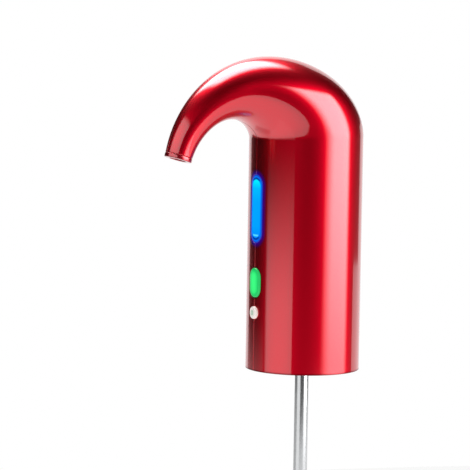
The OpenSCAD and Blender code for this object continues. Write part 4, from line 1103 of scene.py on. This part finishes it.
GRIP_N = 12
GRIP_W = 1.4
GRIP_DEPTH = 0.7
GRIP_LOW = COLLAR_LOW + 1.6
GRIP_L = COLLAR_HIGH - GRIP_LOW
ring_of.make(
    "collar_grips", "black_plastic", "body", [],
    grip_bar("grip_bar", GRIP_W, GRIP_DEPTH, GRIP_L, GRIP_LOW + GRIP_L / 2, 0.3),
    Count=GRIP_N, Radius=(COLLAR_R - GRIP_DEPTH) * MM, Start=math.radians(15),
)
ring_of.make(
    "cover_screws", "steel", "body", ["base_screws"], cross_screw("cover_screw"),
    Count=4, Radius=BOSS_REACH * MM, Start=math.radians(45),
)


# Camera, floor and lights, in metres

FLOOR_Z = -0.30
ROOM_R = 3.2
ROOM_HIGH = 3.2
SENSOR = 36
AIM = Vector((0, 0, 0.064))
VIEW_AZIMUTH = math.radians(148)
VIEW_RISE = math.radians(4.2)
VIEW_ROLL = math.radians(1.05)
VIEW_DISTANCE = 1.3
MM_PER_PIXEL = 0.57
PIXELS = 470
AIM_PIXEL = (304.85, 210.9)

to_camera = Vector((
    math.sin(VIEW_AZIMUTH) * math.cos(VIEW_RISE),
    -math.cos(VIEW_AZIMUTH) * math.cos(VIEW_RISE),
    math.sin(VIEW_RISE),
))
lens = bpy.data.cameras.new("photo_lens")
lens.sensor_width = SENSOR
lens.lens = SENSOR * VIEW_DISTANCE / (PIXELS * MM_PER_PIXEL * MM)
lens.clip_end = 50
camera = linked("photo_camera", lens)
turn = to_camera.to_track_quat("Z", "Y").to_matrix() @ Matrix.Rotation(VIEW_ROLL, 3, "Z")
focal = PIXELS * lens.lens / lens.sensor_width
aside = turn @ Vector((AIM_PIXEL[0] - PIXELS / 2, PIXELS / 2 - AIM_PIXEL[1], 0)) / focal
look = (to_camera + aside).normalized()
right = turn.col[1].cross(look).normalized()
facing = Matrix((right, look.cross(right), look)).transposed().to_4x4()
camera.matrix_world = Matrix.Translation(AIM + VIEW_DISTANCE * to_camera) @ facing
bpy.context.scene.camera = camera

VIEW_ANGLE = math.degrees(math.atan2(to_camera.y, to_camera.x))


def towards(round_deg, up_deg):
    """Direction from the object, by degrees to the right of the camera and above the horizon."""
    a = math.radians(VIEW_ANGLE + round_deg)
    e = math.radians(up_deg)
    return Vector((math.cos(a) * math.cos(e), math.sin(a) * math.cos(e), math.sin(e)))


def stage_mesh(name, points, faces, material, seen=True):
    """A piece of the studio round the object, with its points in metres."""
    mesh = bpy.data.meshes.new(name)
    mesh.from_pydata(points, [], faces)
    mesh.materials.append(material)
    obj = linked(name, mesh)
    obj.visible_camera = seen
    obj.visible_shadow = seen
    return obj


def glow_paint(name, span, glow, soft, lean, waist):
    """Glow over a span that fades towards its edges. Its left edge leans out above and below a waist."""
    paint = Paint(name)
    across = paint.along(0)
    high = paint.along(1)
    left, right, bottom, top = span
    share = (
        (across - left + lean * abs(high - waist)).fade(0, soft[0]) * (right - across).fade(0, soft[1])
        * (high - bottom).fade(0, soft[2]) * (top - high).fade(0, soft[3])
    )
    clear = paint.node("ShaderNodeBsdfTransparent")
    light = paint.node("ShaderNodeEmission", None, {"Color": (1, 1, 1), "Strength": glow})
    mixed = paint.node("ShaderNodeMixShader", None, {0: share, 1: clear, 2: light})
    return paint.cover(mixed)


def light_panel(name, at, across, up, span, glow, soft, lean=0, waist=0):
    """A studio light with soft edges, unseen by the camera. Its span is left, right, bottom and top."""
    paint = glow_paint(name + "_glow", span, glow, soft, lean, waist)
    left, right, bottom, top = span
    far = left - lean * (top - waist)
    corners = [(far, bottom, 0), (right, bottom, 0), (right, top, 0), (far, top, 0)]
    obj = stage_mesh(name, corners, [(0, 1, 2, 3)], paint, seen=False)
    place = Matrix((across, up, across.cross(up))).transposed().to_4x4()
    obj.matrix_world = Matrix.Translation(at) @ place
    return obj


def upright_panel(name, round_deg, distance, span, glow, soft, lean=0, waist=0):
    """A standing light panel, square to one direction from the object, with heights from the seat."""
    at = towards(round_deg, 0) * distance
    across = towards(round_deg + 90, 0)
    return light_panel(name, at, across, Vector((0, 0, 1)), span, glow, soft, lean, waist)


def floor_paint():
    """Pale floor that stays white in the picture, keeps some of the shadow and is clear from below."""
    paint = Paint("pale_floor", Base_Color=(0.62, 0.62, 0.62), Roughness=0.9)
    paint.set("Roughness", 0.85 + 0.1 * paint.noise(60, 2))
    rays = ("Is Camera Ray", "Is Glossy Ray", "Is Transmission Ray")
    seen, mirrored, through = (paint.node("ShaderNodeLightPath", out=ray) for ray in rays)
    share = (seen * 0.8).at_least(mirrored.at_least(through) * 0.97)
    white = paint.node("ShaderNodeEmission", None, {"Color": (1, 1, 1), "Strength": 1.0})
    body = Wire(paint, paint.shader.outputs["BSDF"])
    above = paint.node("ShaderNodeMixShader", None, {0: share, 1: body, 2: white})
    under = paint.node("ShaderNodeNewGeometry", out="Backfacing")
    clear = paint.node("ShaderNodeBsdfTransparent")
    mixed = paint.node("ShaderNodeMixShader", None, {0: under, 1: above, 2: clear})
    return paint.cover(mixed)


def flag_paint():
    """Black cloth of the studio's flags."""
    paint = Paint("black_flag", Base_Color=(0.015, 0.015, 0.015), Specular_IOR_Level=0.0)
    paint.set("Roughness", 0.9 + 0.1 * paint.noise(20))
    return paint.material


def disc(middle, radius, z, count=96):
    """Shape of a level disc."""
    ring = [2 * math.pi * k / count for k in range(count)]
    points = [(middle[0] + radius * math.cos(a), middle[1] + radius * math.sin(a), z) for a in ring]
    return points, [tuple(range(count))]


def dark_wall(first, last, low):
    """Shape of a flag that curves round the object between two directions, open below its lower edge."""
    count = max(2, int((last - first) / 3))
    ways = [towards(d, 0) * ROOM_R for d in np.linspace(first, last, count)]
    points = [(w.x, w.y, z) for w in ways for z in (low, ROOM_HIGH)]
    return points, [(2 * i, 2 * i + 2, 2 * i + 3, 2 * i + 1) for i in range(count - 1)]


stage_mesh("floor", *disc(towards(65, 0) * 0.50, 1.42, FLOOR_Z), floor_paint())
upright_panel(
    "key_panel", 72, 1.5, (-1.03, 0.84, -0.55, 1.33), 5.4, (0.78, 0.38, 0.70, 0.27), lean=0.47, waist=0.03
)
upright_panel("fill_panel", -70, 1.0, (-0.27, 2.20, 0.20, 0.95), 1.5, (0.08, 0.30, 0.15, 0.12))
CARDS = [
    ("near_card", -50, 0.22, (-0.124, 0.128, -0.16, 0.10), 1.1, (0.035, 0.004, 0.01, 0.12)),
    ("low_card", -108, 0.2, (-0.12, 0.12, -0.16, -0.012), 0.6, (0.03, 0.03, 0.01, 0.085)),
]
for card in CARDS:
    upright_panel(*card).visible_diffuse = False
light_panel(
    "top_panel", Vector((0, 0, 1.35)), towards(-58, 0), towards(-148, 0), (-0.66, 0.62, -0.10, 1.80), 7.8,
    (0.28, 0.26, 0.40, 0.60),
)

flag = flag_paint()
FLAGS = [
    ("front_flag", -143, 118, -1.2),
    ("right_flag", 118, 140, -0.27),
    ("right_high_flag", 140, 157, 0.35),
    ("back_flag", 157, 200, 2.36),
    ("left_high_flag", 200, 217, 0.35),
]
for name, first, last, low in FLAGS:
    stage_mesh(name, *dark_wall(first, last, low), flag, seen=False)
stage_mesh("top_flag", *disc((0, 0), ROOM_R, ROOM_HIGH), flag, seen=False)

world = bpy.data.worlds.new("white_studio")
world.use_nodes = True
backdrop = world.node_tree.nodes["Background"]
backdrop.inputs["Color"].default_value = (1, 1, 1, 1)
backdrop.inputs["Strength"].default_value = 1.0
bpy.context.scene.world = world
bpy.context.scene.view_settings.view_transform = "Standard"
